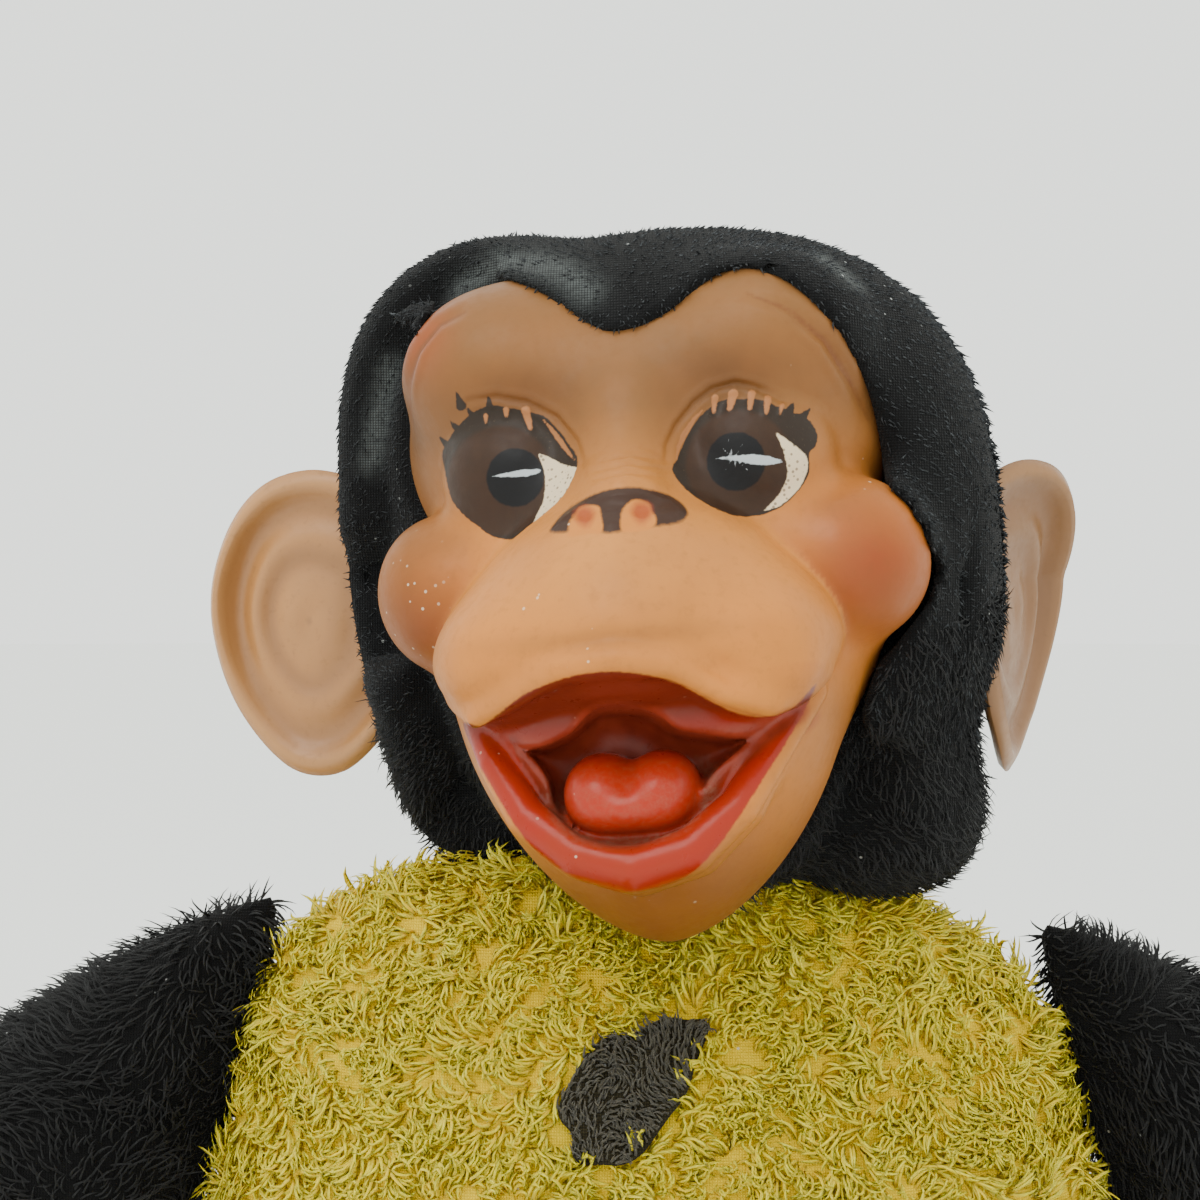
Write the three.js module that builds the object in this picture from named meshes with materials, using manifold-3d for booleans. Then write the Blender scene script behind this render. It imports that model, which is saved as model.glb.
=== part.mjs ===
// A seated plush monkey with a moulded vinyl face, ears, hands and shoes. Millimetres, +Z up, the monkey faces -Y.
// left and right are the monkey's own sides, so left is +X. The origin is the middle of the flat seat.
import * as THREE from "three";
import { mergeVertices } from "three/addons/utils/BufferGeometryUtils.js";
import Module from "manifold-3d";

const wasm = await Module();
wasm.setup();

// ---- Driving dimensions ----
const PLUSH = 3; // backing cloth with its packed pile
const VINYL = 2.4; // wall of a moulded vinyl piece
const GAP = 0.4; // between solids that touch
const SLACK = 2; // between stuffing and the cloth around it
const FAR = 400; // longer than the whole toy, for cutting

const TORSO_HEIGHT = 176;
const SEAT_HEM = 8; // height of the rim of the seat panel
const NECK_HOLE = 22;
const NECK = { x: 0, y: 2, z: 188, ball: 24, stem: 19, foot: 152 };

const HEAD_TURN = -10; // degrees: the face looks a little to its own right
const HEAD_LEAN = -5; // degrees: the head leans to its own right
const HEAD_CENTRE = new THREE.Vector3(12.1, -11.1, 69.2); // from the neck's pivot, in the turned head
const HOOD = { low: -74, high: 81, back: 6 };
const HOOD_SEAM = 20; // half width of the strip over the crown
const HOOD_HEM = -62; // top of the panel around the neck
const MASK_BACK = -36;
const MASK_FRONT = -125;

const ARM = { length: 128, droop: 30, seamLow: 90, seamHigh: 170, wrist: 16, clear: 7 };
const LEG = { length: 150, splay: 15, seam: 40, seat: 12, ankle: 18, out: 56, front: -62 };

const YELLOW = { color: 0xd9b93a, roughness: 0.95, metalness: 0 };
const BLACK = { color: 0x17181a, roughness: 0.95, metalness: 0 };
const SKIN = { color: 0xd39a68, roughness: 0.45, metalness: 0 };
const PATCH = { color: 0x3a3526, roughness: 0.95, metalness: 0 };
const SHOE = { color: 0xe9dfcb, roughness: 0.4, metalness: 0 };
const COTTON = { color: 0xe8e2d4, roughness: 1, metalness: 0 };
const CORD = { color: 0x5d5444, roughness: 0.9, metalness: 0 };

// ---- Solids ----
// A closed geometry as a solid. Triangles that collapse on a lathe's axis are dropped.
function solid(geometry) {
  const bare = geometry.clone();
  for (const name of Object.keys(bare.attributes)) {
    if (name !== "position") bare.deleteAttribute(name);
  }
  const merged = mergeVertices(bare);
  const at = merged.index.array;
  const triangles = [];
  for (let i = 0; i < at.length; i += 3) {
    const [a, b, c] = [at[i], at[i + 1], at[i + 2]];
    if (a !== b && b !== c && a !== c) triangles.push(a, b, c);
  }
  const build = (order) =>
    new wasm.Manifold(
      new wasm.Mesh({
        numProp: 3,
        vertProperties: merged.attributes.position.array,
        triVerts: new Uint32Array(order),
      }),
    );
  const made = build(triangles);
  return made.volume() > 0 ? made : build(triangles.reverse());
}

function mesh(name, shape, finish) {
  const { vertProperties, triVerts } = biggest(shape).getMesh();
  const geometry = new THREE.BufferGeometry()
    .setAttribute("position", new THREE.BufferAttribute(vertProperties, 3))
    .setIndex(new THREE.BufferAttribute(triVerts, 1));
  geometry.computeVertexNormals();
  const made = new THREE.Mesh(geometry, new THREE.MeshStandardMaterial(finish));
  made.name = name;
  return made;
}

const joined = (shapes) => shapes.reduce((a, b) => a.add(b));

// The biggest separate body of a solid: a cut can leave offcuts at the corners.
const biggest = (shape) => shape.decompose().sort((a, b) => b.volume() - a.volume())[0];

function box(low, high) {
  const size = high.map((h, i) => h - low[i]);
  const geometry = new THREE.BoxGeometry(...size);
  geometry.translate(...low.map((l, i) => l + size[i] / 2));
  return solid(geometry);
}

function ball([x, y, z], [rx, ry, rz], segments = 16) {
  const geometry = new THREE.SphereGeometry(1, segments, Math.round(segments * 0.6));
  geometry.scale(rx, ry, rz);
  geometry.translate(x, y, z);
  return solid(geometry);
}

// A round rod between two heights on a vertical axis.
function rod(x, y, low, high, radius, segments = 16) {
  const geometry = new THREE.CylinderGeometry(radius, radius, high - low, segments);
  geometry.rotateX(Math.PI / 2);
  geometry.translate(x, y, (low + high) / 2);
  return solid(geometry);
}

// A capsule from one point to another.
function finger(from, to, radius, segments = 8) {
  const [a, b] = [new THREE.Vector3(...from), new THREE.Vector3(...to)];
  const geometry = new THREE.CapsuleGeometry(radius, a.distanceTo(b), 2, segments);
  const turn = new THREE.Quaternion().setFromUnitVectors(
    new THREE.Vector3(0, 1, 0),
    b.clone().sub(a).normalize(),
  );
  geometry.applyQuaternion(turn);
  geometry.translate(...a.add(b).multiplyScalar(0.5).toArray());
  return solid(geometry);
}

// A smooth function of 0 to 1 through evenly spaced values.
function along(values) {
  const curve = new THREE.SplineCurve(values.map((v, i) => new THREE.Vector2(i, v)));
  return (share) => curve.getPoint(share).y;
}

// A stuffed form: a drum whose section at each share of its length is an oval of half sizes wide and deep.
// shape is the oval's exponent, 2 for an ellipse and more for a squarer one. place puts a point of it in the frame.
function stuffed({ length, wide, deep, shape, segments, rings, place }, inset = 0) {
  const profile = [new THREE.Vector2(0, 0)];
  for (let i = 0; i <= rings; i++) profile.push(new THREE.Vector2(1, i / rings));
  profile.push(new THREE.Vector2(0, 1));
  const geometry = new THREE.LatheGeometry(profile, segments);
  const at = geometry.attributes.position;
  const rounded = (c, n) => Math.sign(c) * Math.abs(c) ** (2 / n);
  for (let i = 0; i < at.count; i++) {
    const [x, share, y] = [at.getX(i), at.getY(i), at.getZ(i)];
    const n = shape(share);
    const u = rounded(x, n) * Math.max(wide(share) - inset, 0.5);
    const v = rounded(y, n) * Math.max(deep(share) - inset, 0.5);
    const w = inset + share * (length - 2 * inset);
    at.setXYZ(i, ...place(u, v, w, share));
  }
  return solid(geometry);
}

// ---- Torso ----
const TORSO = {
  length: TORSO_HEIGHT,
  wide: along([104, 114, 118, 116, 112, 106, 101, 90]),
  deep: along([50, 59, 62, 61, 56, 49, 39, 18]),
  shape: along([2.8, 2.6, 2.4, 2.2, 2.1, 2, 2, 2]),
  segments: 24,
  rings: 9,
  place: (u, v, w) => [u, v, w],
};
const PATCH_PLACE = { x: -6.5, z: 135.5, wide: 11.5, long: 20, tilt: -48, thick: 3 };

function ovalPrism({ x, z, wide, long, tilt }) {
  const outline = new THREE.Shape();
  outline.absellipse(0, 0, wide, long, 0, 2 * Math.PI);
  const geometry = new THREE.ExtrudeGeometry(outline, {
    depth: FAR,
    bevelEnabled: false,
    curveSegments: 8,
  });
  geometry.rotateZ((tilt * Math.PI) / 180);
  geometry.rotateX(Math.PI / 2);
  geometry.translate(x, 0, z);
  return solid(geometry);
}

function torso() {
  const neckHole = rod(NECK.x, NECK.y, NECK.foot - 2, FAR, NECK_HOLE);
  const skin = stuffed(TORSO).subtract(stuffed(TORSO, PLUSH)).subtract(neckHole);
  const half = (low, high) => box([-FAR, low, SEAT_HEM + GAP], [FAR, high, FAR]);
  const cord = new THREE.TorusGeometry(NECK_HOLE + 3, 1.4, 5, 18);
  cord.translate(NECK.x, NECK.y, TORSO_HEIGHT + 1.4 + GAP);
  const patch = stuffed(TORSO, -PATCH_PLACE.thick - GAP)
    .subtract(stuffed(TORSO, -GAP))
    .intersect(ovalPrism(PATCH_PLACE));
  return [
    mesh("torso_front_panel", skin.intersect(half(-FAR, -GAP / 2)), YELLOW),
    mesh("torso_back_panel", skin.intersect(half(GAP / 2, FAR)), YELLOW),
    mesh("seat_panel", skin.intersect(box([-FAR, -FAR, -1], [FAR, FAR, SEAT_HEM])), YELLOW),
    mesh("torso_stuffing", stuffed(TORSO, PLUSH + SLACK).subtract(neckHole), COTTON),
    mesh("neck_drawstring", solid(cord), CORD),
    mesh("chest_patch", patch, PATCH),
  ];
}

// ---- Neck: a stuffed stem that turns in the torso, with a round top that the head nods on ----
function neck() {
  const top = ball([NECK.x, NECK.y, NECK.z], [NECK.ball, NECK.ball, NECK.ball], 16);
  return mesh("neck_stem", top.add(rod(NECK.x, NECK.y, NECK.foot, NECK.z, NECK.stem)), BLACK);
}

// ---- Head, in its own frame: the origin is the middle of the head ----
const HOOD_FORM = {
  length: HOOD.high - HOOD.low,
  wide: along([54, 71, 77, 80, 81, 80, 74, 58, 22]),
  deep: along([36, 51, 59, 63, 65, 65, 61, 49, 18]),
  shape: () => 2.3,
  segments: 24,
  rings: 9,
  place: (u, v, w) => [u, v + HOOD.back, w + HOOD.low],
};
// Half of the face's outline, from the hairline's peak round to the chin, as x and z.
const FACE_OUTLINE = [
  [0, 47], [10, 51], [21, 60], [33, 64], [46, 59], [54, 44], [57, 27], [57, 13],
  [63, 4], [64, -8], [58, -20], [51, -34], [45, -55], [31, -75], [14, -86], [0, -88],
];
// The rounded masses that the face is made of: middle, half sizes.
const FACE_MASSES = [
  [[0, -20, 30], [62, 44, 48]],
  [[-44, -34, -6], [20, 28, 21]],
  [[44, -34, -6], [20, 28, 21]],
  [[0, -54, -12], [44, 48, 31]],
  [[0, -44, -46], [40, 44, 37]],
];
const MOUTH = [[0, -90, -47], [29, 34, 15]];
const TONGUE = [[0, -77, -57], [15, 15, 9]];

function faceOutline(grow, front, back) {
  const half = FACE_OUTLINE.map(([x, z]) => new THREE.Vector2(x * grow, z * grow));
  const other = half.slice(1, -1).reverse().map((p) => new THREE.Vector2(-p.x, p.y));
  const smooth = new THREE.SplineCurve([...half, ...other, half[0]]).getPoints(32);
  const geometry = new THREE.ExtrudeGeometry(new THREE.Shape(smooth.slice(0, -1)), {
    depth: back - front,
    bevelEnabled: false,
  });
  geometry.rotateX(Math.PI / 2);
  geometry.translate(0, back, 0);
  return solid(geometry);
}

const faceForm = (inset, segments) =>
  joined([
    stuffed(HOOD_FORM, inset + 1.5),
    ...FACE_MASSES.map(([middle, half]) => ball(middle, half.map((h) => h - inset), segments)),
  ]);
const mouthForm = (grow) => ball(MOUTH[0], MOUTH[1].map((h) => h + grow), 14);

function faceMask() {
  const outside = faceForm(0, 16);
  const pocket = mouthForm(VINYL).subtract(mouthForm(0)).intersect(outside);
  const wall = outside.subtract(faceForm(VINYL, 12)).subtract(mouthForm(VINYL / 2));
  const tongue = ball(TONGUE[0], TONGUE[1], 12).intersect(mouthForm(VINYL / 2));
  return joined([wall, pocket, tongue]).intersect(faceOutline(1, MASK_FRONT, MASK_BACK));
}

function hoodPanels() {
  const hood = stuffed(HOOD_FORM)
    .subtract(stuffed(HOOD_FORM, PLUSH))
    .subtract(faceOutline(1.012, MASK_FRONT, MASK_BACK + 2))
    .subtract(ball(neckInHead().toArray(), [29, 29, 29]));
  const side = (low, high) => hood.intersect(box([low, -FAR, HOOD_HEM + GAP], [high, FAR, FAR]));
  return [
    mesh("hood_right_panel", side(-FAR, -HOOD_SEAM - GAP / 2), BLACK),
    mesh("hood_left_panel", side(HOOD_SEAM + GAP / 2, FAR), BLACK),
    mesh("hood_crown_strip", side(-HOOD_SEAM + GAP / 2, HOOD_SEAM - GAP / 2), BLACK),
    mesh("hood_neck_panel", hood.intersect(box([-FAR, -FAR, -FAR], [FAR, FAR, HOOD_HEM])), BLACK),
  ];
}

// The neck's pivot in the head's own frame.
function neckInHead() {
  return HEAD_CENTRE.clone().negate();
}

function headStuffing() {
  const behind = box([-FAR, MASK_BACK + 1.5, -FAR], [FAR, FAR, FAR]);
  const inHood = stuffed(HOOD_FORM, PLUSH + SLACK).intersect(behind);
  const inFace = faceForm(VINYL + 2.4, 10).intersect(faceOutline(0.985, MASK_FRONT, MASK_BACK + 2));
  return inHood
    .add(inFace)
    .subtract(mouthForm(VINYL + GAP))
    .subtract(ball(neckInHead().toArray(), [29, 29, 29]));
}

// A dished ear. It is swept back by an angle about the vertical, and its root stops at the hood.
function ear({ x, y, z, sweep }) {
  const side = Math.sign(x);
  const [halfWide, halfThick, halfTall] = [27, 9, 39];
  const shell = ball([0, 0, 0], [halfWide, halfThick, halfTall], 18);
  const dish = ball([side * 2, -halfThick * 1.05, 1], [halfWide - 6, halfThick, halfTall - 7]);
  const turned = new THREE.Matrix4()
    .makeRotationZ((side * sweep * Math.PI) / 180)
    .setPosition(x, y, z);
  const placed = shell.subtract(dish).transform(turned.elements);
  return placed.subtract(stuffed(HOOD_FORM, -GAP));
}
const EARS = {
  right_ear: { x: -99, y: 10, z: -7, sweep: -8 },
  left_ear: { x: 87, y: 28, z: -18, sweep: 62 },
};

function head() {
  const frame = new THREE.Group();
  frame.rotation.set(0, radians(HEAD_LEAN), radians(HEAD_TURN), "ZYX");
  frame.position.set(NECK.x, NECK.y, NECK.z);
  const inside = new THREE.Group();
  inside.position.copy(HEAD_CENTRE);
  frame.add(inside);
  inside.add(mesh("face_mask", faceMask(), SKIN), ...hoodPanels());
  inside.add(mesh("head_stuffing", headStuffing(), COTTON));
  for (const [name, place] of Object.entries(EARS)) inside.add(mesh(name, ear(place), SKIN));
  return frame;
}

const radians = THREE.MathUtils.degToRad;

// ---- Arms ----
// In an arm's own frame +X runs down the arm from the middle of the shoulder seam, and +Z is up across it.
function armForm(side) {
  const lean = Math.atan2(torsoEdge(ARM.seamLow) - torsoEdge(ARM.seamHigh), ARM.seamHigh - ARM.seamLow);
  const slant = -Math.tan(lean + radians(ARM.droop));
  return {
    length: ARM.length,
    wide: along([34, 39, 40, 39, 36, 32, 24, ARM.wrist + 3]),
    deep: along([3.5, 20, 27, 29, 28, 26, 23, ARM.wrist + 3]),
    shape: () => 2,
    segments: 14,
    rings: 7,
    place: (u, v, w, share) => [side * (w + slant * u * (1 - share) ** 1.6), v, u],
  };
}

// Half the torso's width at a height.
const torsoEdge = (z) => TORSO.wide(z / TORSO_HEIGHT);

function armFrame(side) {
  const middle = (ARM.seamLow + ARM.seamHigh) / 2;
  const frame = new THREE.Group();
  frame.position.set(side * (torsoEdge(middle) + ARM.clear), 0, middle);
  frame.rotation.y = side * radians(ARM.droop);
  return frame;
}

function alongX(x0, x1, radius, segments = 14) {
  const geometry = new THREE.CylinderGeometry(radius, radius, Math.abs(x1 - x0), segments);
  geometry.rotateZ(Math.PI / 2);
  geometry.translate((x0 + x1) / 2, 0, 0);
  return solid(geometry);
}

function ring(x, radius, thick) {
  const geometry = new THREE.TorusGeometry(radius, thick, 5, 14);
  geometry.rotateY(Math.PI / 2);
  geometry.translate(x, 0, 0);
  return solid(geometry);
}

function arm(name, side) {
  const form = armForm(side);
  const end = side * ARM.length;
  const mouth = alongX(end - side * 16, end + side * 5, ARM.wrist);
  const skin = stuffed(form).subtract(stuffed(form, PLUSH)).subtract(mouth);
  const half = (low, high) => skin.intersect(box([-FAR, low, -FAR], [FAR, high, FAR]));
  const frame = armFrame(side);
  frame.add(
    mesh(`${name}_sleeve_front`, half(-FAR, -GAP / 2), BLACK),
    mesh(`${name}_sleeve_back`, half(GAP / 2, FAR), BLACK),
    mesh(`${name}_arm_stuffing`, stuffed(form, PLUSH + SLACK).subtract(mouth), COTTON),
    mesh(`${name}_wrist_cord`, ring(end + side * 2, ARM.wrist + 2, 1.4), CORD),
    mesh(`${name}_hand`, hand(side, end), SKIN),
  );
  return frame;
}

// A hollow vinyl hand with a flanged stub that is tied into the sleeve's end.
function hand(side, end) {
  const at = (x, y, z) => [end + side * x, y, z];
  const fingers = [-12, -4, 4, 12].map((z) =>
    finger(at(36, -1, z * 0.95), at(55 - Math.abs(z) * 0.35, -9, z * 1.12), 5.4),
  );
  const outside = joined([
    ball(at(24, 0, 0), [21, 11, 20], 14),
    alongX(end - side * 13, end + side * 10, ARM.wrist - 3),
    alongX(end - side * 14, end - side * 10.5, ARM.wrist - 0.6),
    finger(at(20, -4, 15), at(33, -10, 27), 6),
    ...fingers,
  ]);
  const inside = ball(at(24, 0, 0), [21 - VINYL, 11 - VINYL, 20 - VINYL], 10);
  return outside.subtract(inside).subtract(alongX(end - side * 20, end + side * 20, 6, 12));
}

// ---- Legs ----
// In a leg's own frame -Y runs down the leg from the middle of the hip seam, and the hip seam lies along X.
const LEG_TOP = along([4, 28, 44, 53, 56, 56, 53, 49, 43]);
const LEG_UNDER = along([4, 9, 11.6, 11.8, 11.8, 11.8, 11.8, 11, 5]);
function legRise(share) {
  return (LEG_TOP(share) - LEG_UNDER(share)) / 2;
}
const LEG_FORM = {
  length: LEG.length,
  wide: along([LEG.seam, 41, 41, 40, 38, 36, 33, 29, LEG.ankle + 3]),
  deep: (share) => (LEG_TOP(share) + LEG_UNDER(share)) / 2,
  shape: () => 2.1,
  segments: 16,
  rings: 8,
  place: (u, v, w) => [u, -w, v + legRise(w / LEG.length)],
};
const ANKLE_RISE = legRise(1);

function legFrame(side) {
  const frame = new THREE.Group();
  frame.position.set(side * LEG.out, LEG.front, LEG.seat);
  frame.rotation.z = side * radians(LEG.splay);
  return frame;
}

function alongY(y0, y1, radius, segments = 14) {
  const geometry = new THREE.CylinderGeometry(radius, radius, Math.abs(y1 - y0), segments);
  geometry.translate(0, (y0 + y1) / 2, ANKLE_RISE);
  return solid(geometry);
}

function leg(name, side) {
  const end = -LEG.length;
  const mouth = alongY(end - 5, end + 16, LEG.ankle);
  const skin = stuffed(LEG_FORM).subtract(stuffed(LEG_FORM, PLUSH)).subtract(mouth);
  const half = (low, high) => skin.intersect(box([low, -FAR, -FAR], [high, FAR, FAR]));
  const cord = new THREE.TorusGeometry(LEG.ankle + 2, 1.4, 5, 14);
  cord.rotateX(Math.PI / 2);
  cord.translate(0, end - 2, ANKLE_RISE);
  const frame = legFrame(side);
  frame.add(
    mesh(`${name}_leg_inner_panel`, side > 0 ? half(-FAR, -GAP / 2) : half(GAP / 2, FAR), BLACK),
    mesh(`${name}_leg_outer_panel`, side > 0 ? half(GAP / 2, FAR) : half(-FAR, -GAP / 2), BLACK),
    mesh(`${name}_leg_stuffing`, stuffed(LEG_FORM, PLUSH + SLACK).subtract(mouth), COTTON),
    mesh(`${name}_ankle_cord`, solid(cord), CORD),
    mesh(`${name}_shoe`, shoe(end), SHOE),
  );
  return frame;
}

// A hollow vinyl shoe with a thick sole. It stands on its heel at the end of the leg.
const SHOE_LENGTH = 38;
function shoe(end) {
  const middle = 43.3 - LEG.seat;
  const form = {
    length: SHOE_LENGTH,
    wide: along([19, 24, 27, 27]),
    deep: along([25, 36, 41, 42]),
    shape: () => 2.2,
    segments: 16,
    rings: 5,
    place: (u, v, w) => [u, end - 4 - w, v + middle],
  };
  const outside = joined([
    stuffed(form),
    alongY(end - 20, end + 12, LEG.ankle - 3),
    alongY(end + 10, end + 13, LEG.ankle - 0.6),
    sole(end - 10 - SHOE_LENGTH, end - 3 - SHOE_LENGTH, middle),
  ]);
  return outside.subtract(stuffed(form, VINYL)).subtract(alongY(end - 20, end + 20, 8, 10));
}

function sole(front, back, middle) {
  const outline = new THREE.Shape();
  outline.absellipse(0, middle, 28, 43, 0, 2 * Math.PI);
  const geometry = new THREE.ExtrudeGeometry(outline, {
    depth: back - front,
    bevelEnabled: false,
    curveSegments: 8,
  });
  geometry.rotateX(Math.PI / 2);
  geometry.translate(0, back, 0);
  return solid(geometry);
}

const monkey = new THREE.Group();
monkey.add(...torso(), neck(), head());
for (const [name, side] of [["left", 1], ["right", -1]]) {
  monkey.add(arm(name, side), leg(name, side));
}
export default monkey;
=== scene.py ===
"""A seated plush monkey with a moulded vinyl face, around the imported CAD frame.

Lengths here are millimetres and are turned into metres when a mesh is made. The head is modelled
in its own frame: x to the monkey's left, -y out of the face, z up, origin in the middle of the head.
"""

import math

import bmesh
import bpy
import numpy as np
from mathutils import Matrix, Vector


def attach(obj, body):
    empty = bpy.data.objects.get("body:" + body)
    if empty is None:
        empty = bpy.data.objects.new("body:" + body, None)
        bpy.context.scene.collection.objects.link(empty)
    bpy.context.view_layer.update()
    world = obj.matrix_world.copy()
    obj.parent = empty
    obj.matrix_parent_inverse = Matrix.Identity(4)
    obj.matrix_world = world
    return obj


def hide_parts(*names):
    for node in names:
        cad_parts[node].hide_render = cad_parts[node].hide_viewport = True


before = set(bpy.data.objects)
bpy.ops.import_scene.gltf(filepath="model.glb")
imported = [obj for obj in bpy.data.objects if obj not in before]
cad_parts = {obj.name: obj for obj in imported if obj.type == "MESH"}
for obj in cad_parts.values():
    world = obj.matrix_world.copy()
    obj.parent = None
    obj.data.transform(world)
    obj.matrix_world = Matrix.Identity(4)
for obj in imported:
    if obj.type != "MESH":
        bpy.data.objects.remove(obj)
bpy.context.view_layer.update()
MM = 0.001

# ---------------------------------------------------------------- frames


def turn(axis, degrees):
    return np.array(Matrix.Rotation(math.radians(degrees), 4, axis))


def shift(x, y, z):
    return np.array(Matrix.Translation((x, y, z)))


HEAD = shift(0, 2, 188) @ turn("Z", -10) @ turn("Y", -5) @ shift(12.1, -11.1, 69.2)


def moved(points, place):
    return points @ place[:3, :3].T + place[:3, 3]


# ---------------------------------------------------------------- mesh making


def give(mesh, points, floats=None, tone=None):
    """Sets a mesh's points, its attributes of one number and its base colours."""
    mesh.vertices.foreach_set("co", (points * MM).astype(np.float32).ravel())
    for key, values in (floats or {}).items():
        made = mesh.attributes.new(key, "FLOAT", "POINT")
        made.data.foreach_set("value", np.asarray(values, np.float32))
    if tone is not None:
        made = mesh.attributes.new("tone", "FLOAT_COLOR", "POINT")
        rgba = np.concatenate([tone, np.ones((len(tone), 1))], 1)
        made.data.foreach_set("color", rgba.astype(np.float32).ravel())


def piece(name, points, faces, material, body, place=None, floats=None, tone=None):
    """A smooth mesh on a body. faces is a list of arrays, with rows of 3 or 4 point numbers."""
    if place is not None:
        points = moved(points, place)
    corners = np.concatenate([group.ravel() for group in faces]).astype(np.int32)
    sizes = np.concatenate([np.full(len(group), group.shape[1], np.int32) for group in faces])
    mesh = bpy.data.meshes.new(name)
    mesh.vertices.add(len(points))
    mesh.loops.add(len(corners))
    mesh.loops.foreach_set("vertex_index", corners)
    mesh.polygons.add(len(sizes))
    starts = np.concatenate([[0], np.cumsum(sizes)[:-1]]).astype(np.int32)
    mesh.polygons.foreach_set("loop_start", starts)
    mesh.polygons.foreach_set("use_smooth", np.full(len(sizes), True))
    give(mesh, points, floats, tone)
    mesh.update(calc_edges=True)
    mesh.materials.append(material)
    obj = bpy.data.objects.new(name, mesh)
    bpy.context.scene.collection.objects.link(obj)
    if body:
        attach(obj, body)
    return obj


def gap_to_form(q, half, near):
    """About the distance to a form's surface, where near is 1 and q is the place as a share of half."""
    slope = np.sqrt(((q / np.float32(half)) ** 2).sum(-1))
    return near * (near - 1) / np.maximum(slope, 1e-6)


def ellipsoid(p, centre, half):
    q = (p - np.float32(centre)) / np.float32(half)
    return gap_to_form(q, half, np.sqrt((q * q).sum(-1)))


def squarish(p, centre, half, n):
    """Like ellipsoid, with its own roundness from the front: below 2 is more pointed, above 2 squarer."""
    q = (p - np.float32(centre)) / np.float32(half)
    side = np.abs(q)
    near = np.sqrt((side[:, 0] ** n + side[:, 2] ** n) ** (2 / n) + q[:, 1] ** 2)
    return gap_to_form(q, half, near)


def union(a, b, soft):
    """a and b together, blended over about soft where they meet."""
    share = np.clip(0.5 + 0.5 * (b - a) / soft, 0, 1)
    return b * (1 - share) + a * share - soft * share * (1 - share)


def cut(a, b, soft):
    """a without b."""
    return -union(-a, b, soft)


def tube(p, path, radii):
    """A round bar through the points of path, with a radius at each."""
    best = np.full(p.shape[:-1], 1e9, np.float32)
    path = np.float32(path)
    for a, b, ra, rb in zip(path, path[1:], radii, radii[1:]):
        along = np.clip(((p - a) @ (b - a)) / ((b - a) @ (b - a)), 0, 1)
        gap = np.linalg.norm(p - a - along[..., None] * (b - a), axis=-1)
        best = np.minimum(best, gap - (ra + along * (rb - ra)))
    return best


def contour(field, low, high, step):
    """The surface where field is 0, as points and four-sided faces."""
    axes = [np.arange(l, h + step, step, dtype=np.float32) for l, h in zip(low, high)]
    grid = np.stack(np.meshgrid(*axes, indexing="ij"), -1)
    value = field(grid.reshape(-1, 3)).reshape(grid.shape[:3])
    inside = value < 0
    cells = tuple(n - 1 for n in value.shape)
    total = np.zeros(cells + (3,), np.float32)
    count = np.zeros(cells, np.int32)
    crossings = []
    for axis in range(3):
        v, s = np.moveaxis(value, axis, 0), np.moveaxis(inside, axis, 0)
        cross = s[:-1] != s[1:]
        share = np.where(cross, v[:-1] / np.where(cross, v[:-1] - v[1:], 1), 0)
        crossings.append((cross, s[:-1]))
        others = [k for k in range(3) if k != axis]
        out = np.moveaxis(total, axis, 0)
        number = np.moveaxis(count, axis, 0)
        for j in (0, 1):
            for k in (0, 1):
                deep, wide = cross.shape[1] - 1, cross.shape[2] - 1
                part = (slice(None), slice(j, deep + j), slice(k, wide + k))
                hit = cross[part]
                out[..., axis] += hit * share[part]
                out[..., others[0]] += hit * j
                out[..., others[1]] += hit * k
                number += hit
    used = count > 0
    number = np.full(cells, -1)
    number[used] = np.arange(used.sum())
    corner = np.stack(np.nonzero(used), -1)
    points = np.float32(low) + step * (corner + total[used] / count[used][:, None])
    faces = []
    for axis, (cross, below) in enumerate(crossings):
        at = np.moveaxis(number, axis, 0)
        hit = cross[:, 1:-1, 1:-1]
        ways = [at[:, :-1, :-1], at[:, 1:, :-1], at[:, 1:, 1:], at[:, :-1, 1:]]
        quad = np.stack([way[hit] for way in ways], -1)
        flip = below[:, 1:-1, 1:-1][hit] == (axis == 1)
        quad[flip] = quad[flip][:, ::-1]
        faces.append(quad)
    for _ in range(2):
        points = settled(field, points, step)
    return points.astype(float), [np.concatenate(faces)]


def slope_of(field, points, reach=0.3):
    steps = np.float32(np.eye(3) * reach)
    return np.stack([field(points + step) - field(points - step) for step in steps], -1) / (2 * reach)


def settled(field, points, step):
    """The points, moved onto the surface where field is 0 by at most step."""
    slope = slope_of(field, points)
    size = np.maximum((slope * slope).sum(-1), 0.05)
    move = field(points)[:, None] * slope / size[:, None]
    return (points - np.clip(move, -step, step)).astype(np.float32)


def spline(a, b, c, d, t):
    """The smooth way from b to c at share t, where a comes before and d after."""
    return 0.5 * (2 * b + (c - a) * t + (2 * a - 5 * b + 4 * c - d) * t**2 + (3 * b - a - 3 * c + d) * t**3)


def outline(points, steps=8):
    """A smooth closed curve through points in the plane."""
    p = np.asarray(points, float)
    t = np.linspace(0, 1, steps, endpoint=False)[None, :, None]
    return spline(*(np.roll(p, k, 0)[:, None] for k in (1, 0, -1, -2)), t).reshape(-1, 2)


def profile(values):
    """A smooth function of 0 to 1 through evenly spaced values."""
    p = np.asarray(values, float)

    def value(share):
        place = np.clip(share, 0, 1) * (len(p) - 1)
        i = np.minimum(place.astype(int), len(p) - 2)
        before, after = p[np.maximum(i - 1, 0)], p[np.minimum(i + 2, len(p) - 1)]
        return spline(before, p[i], p[i + 1], after, place - i)

    return value


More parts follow.
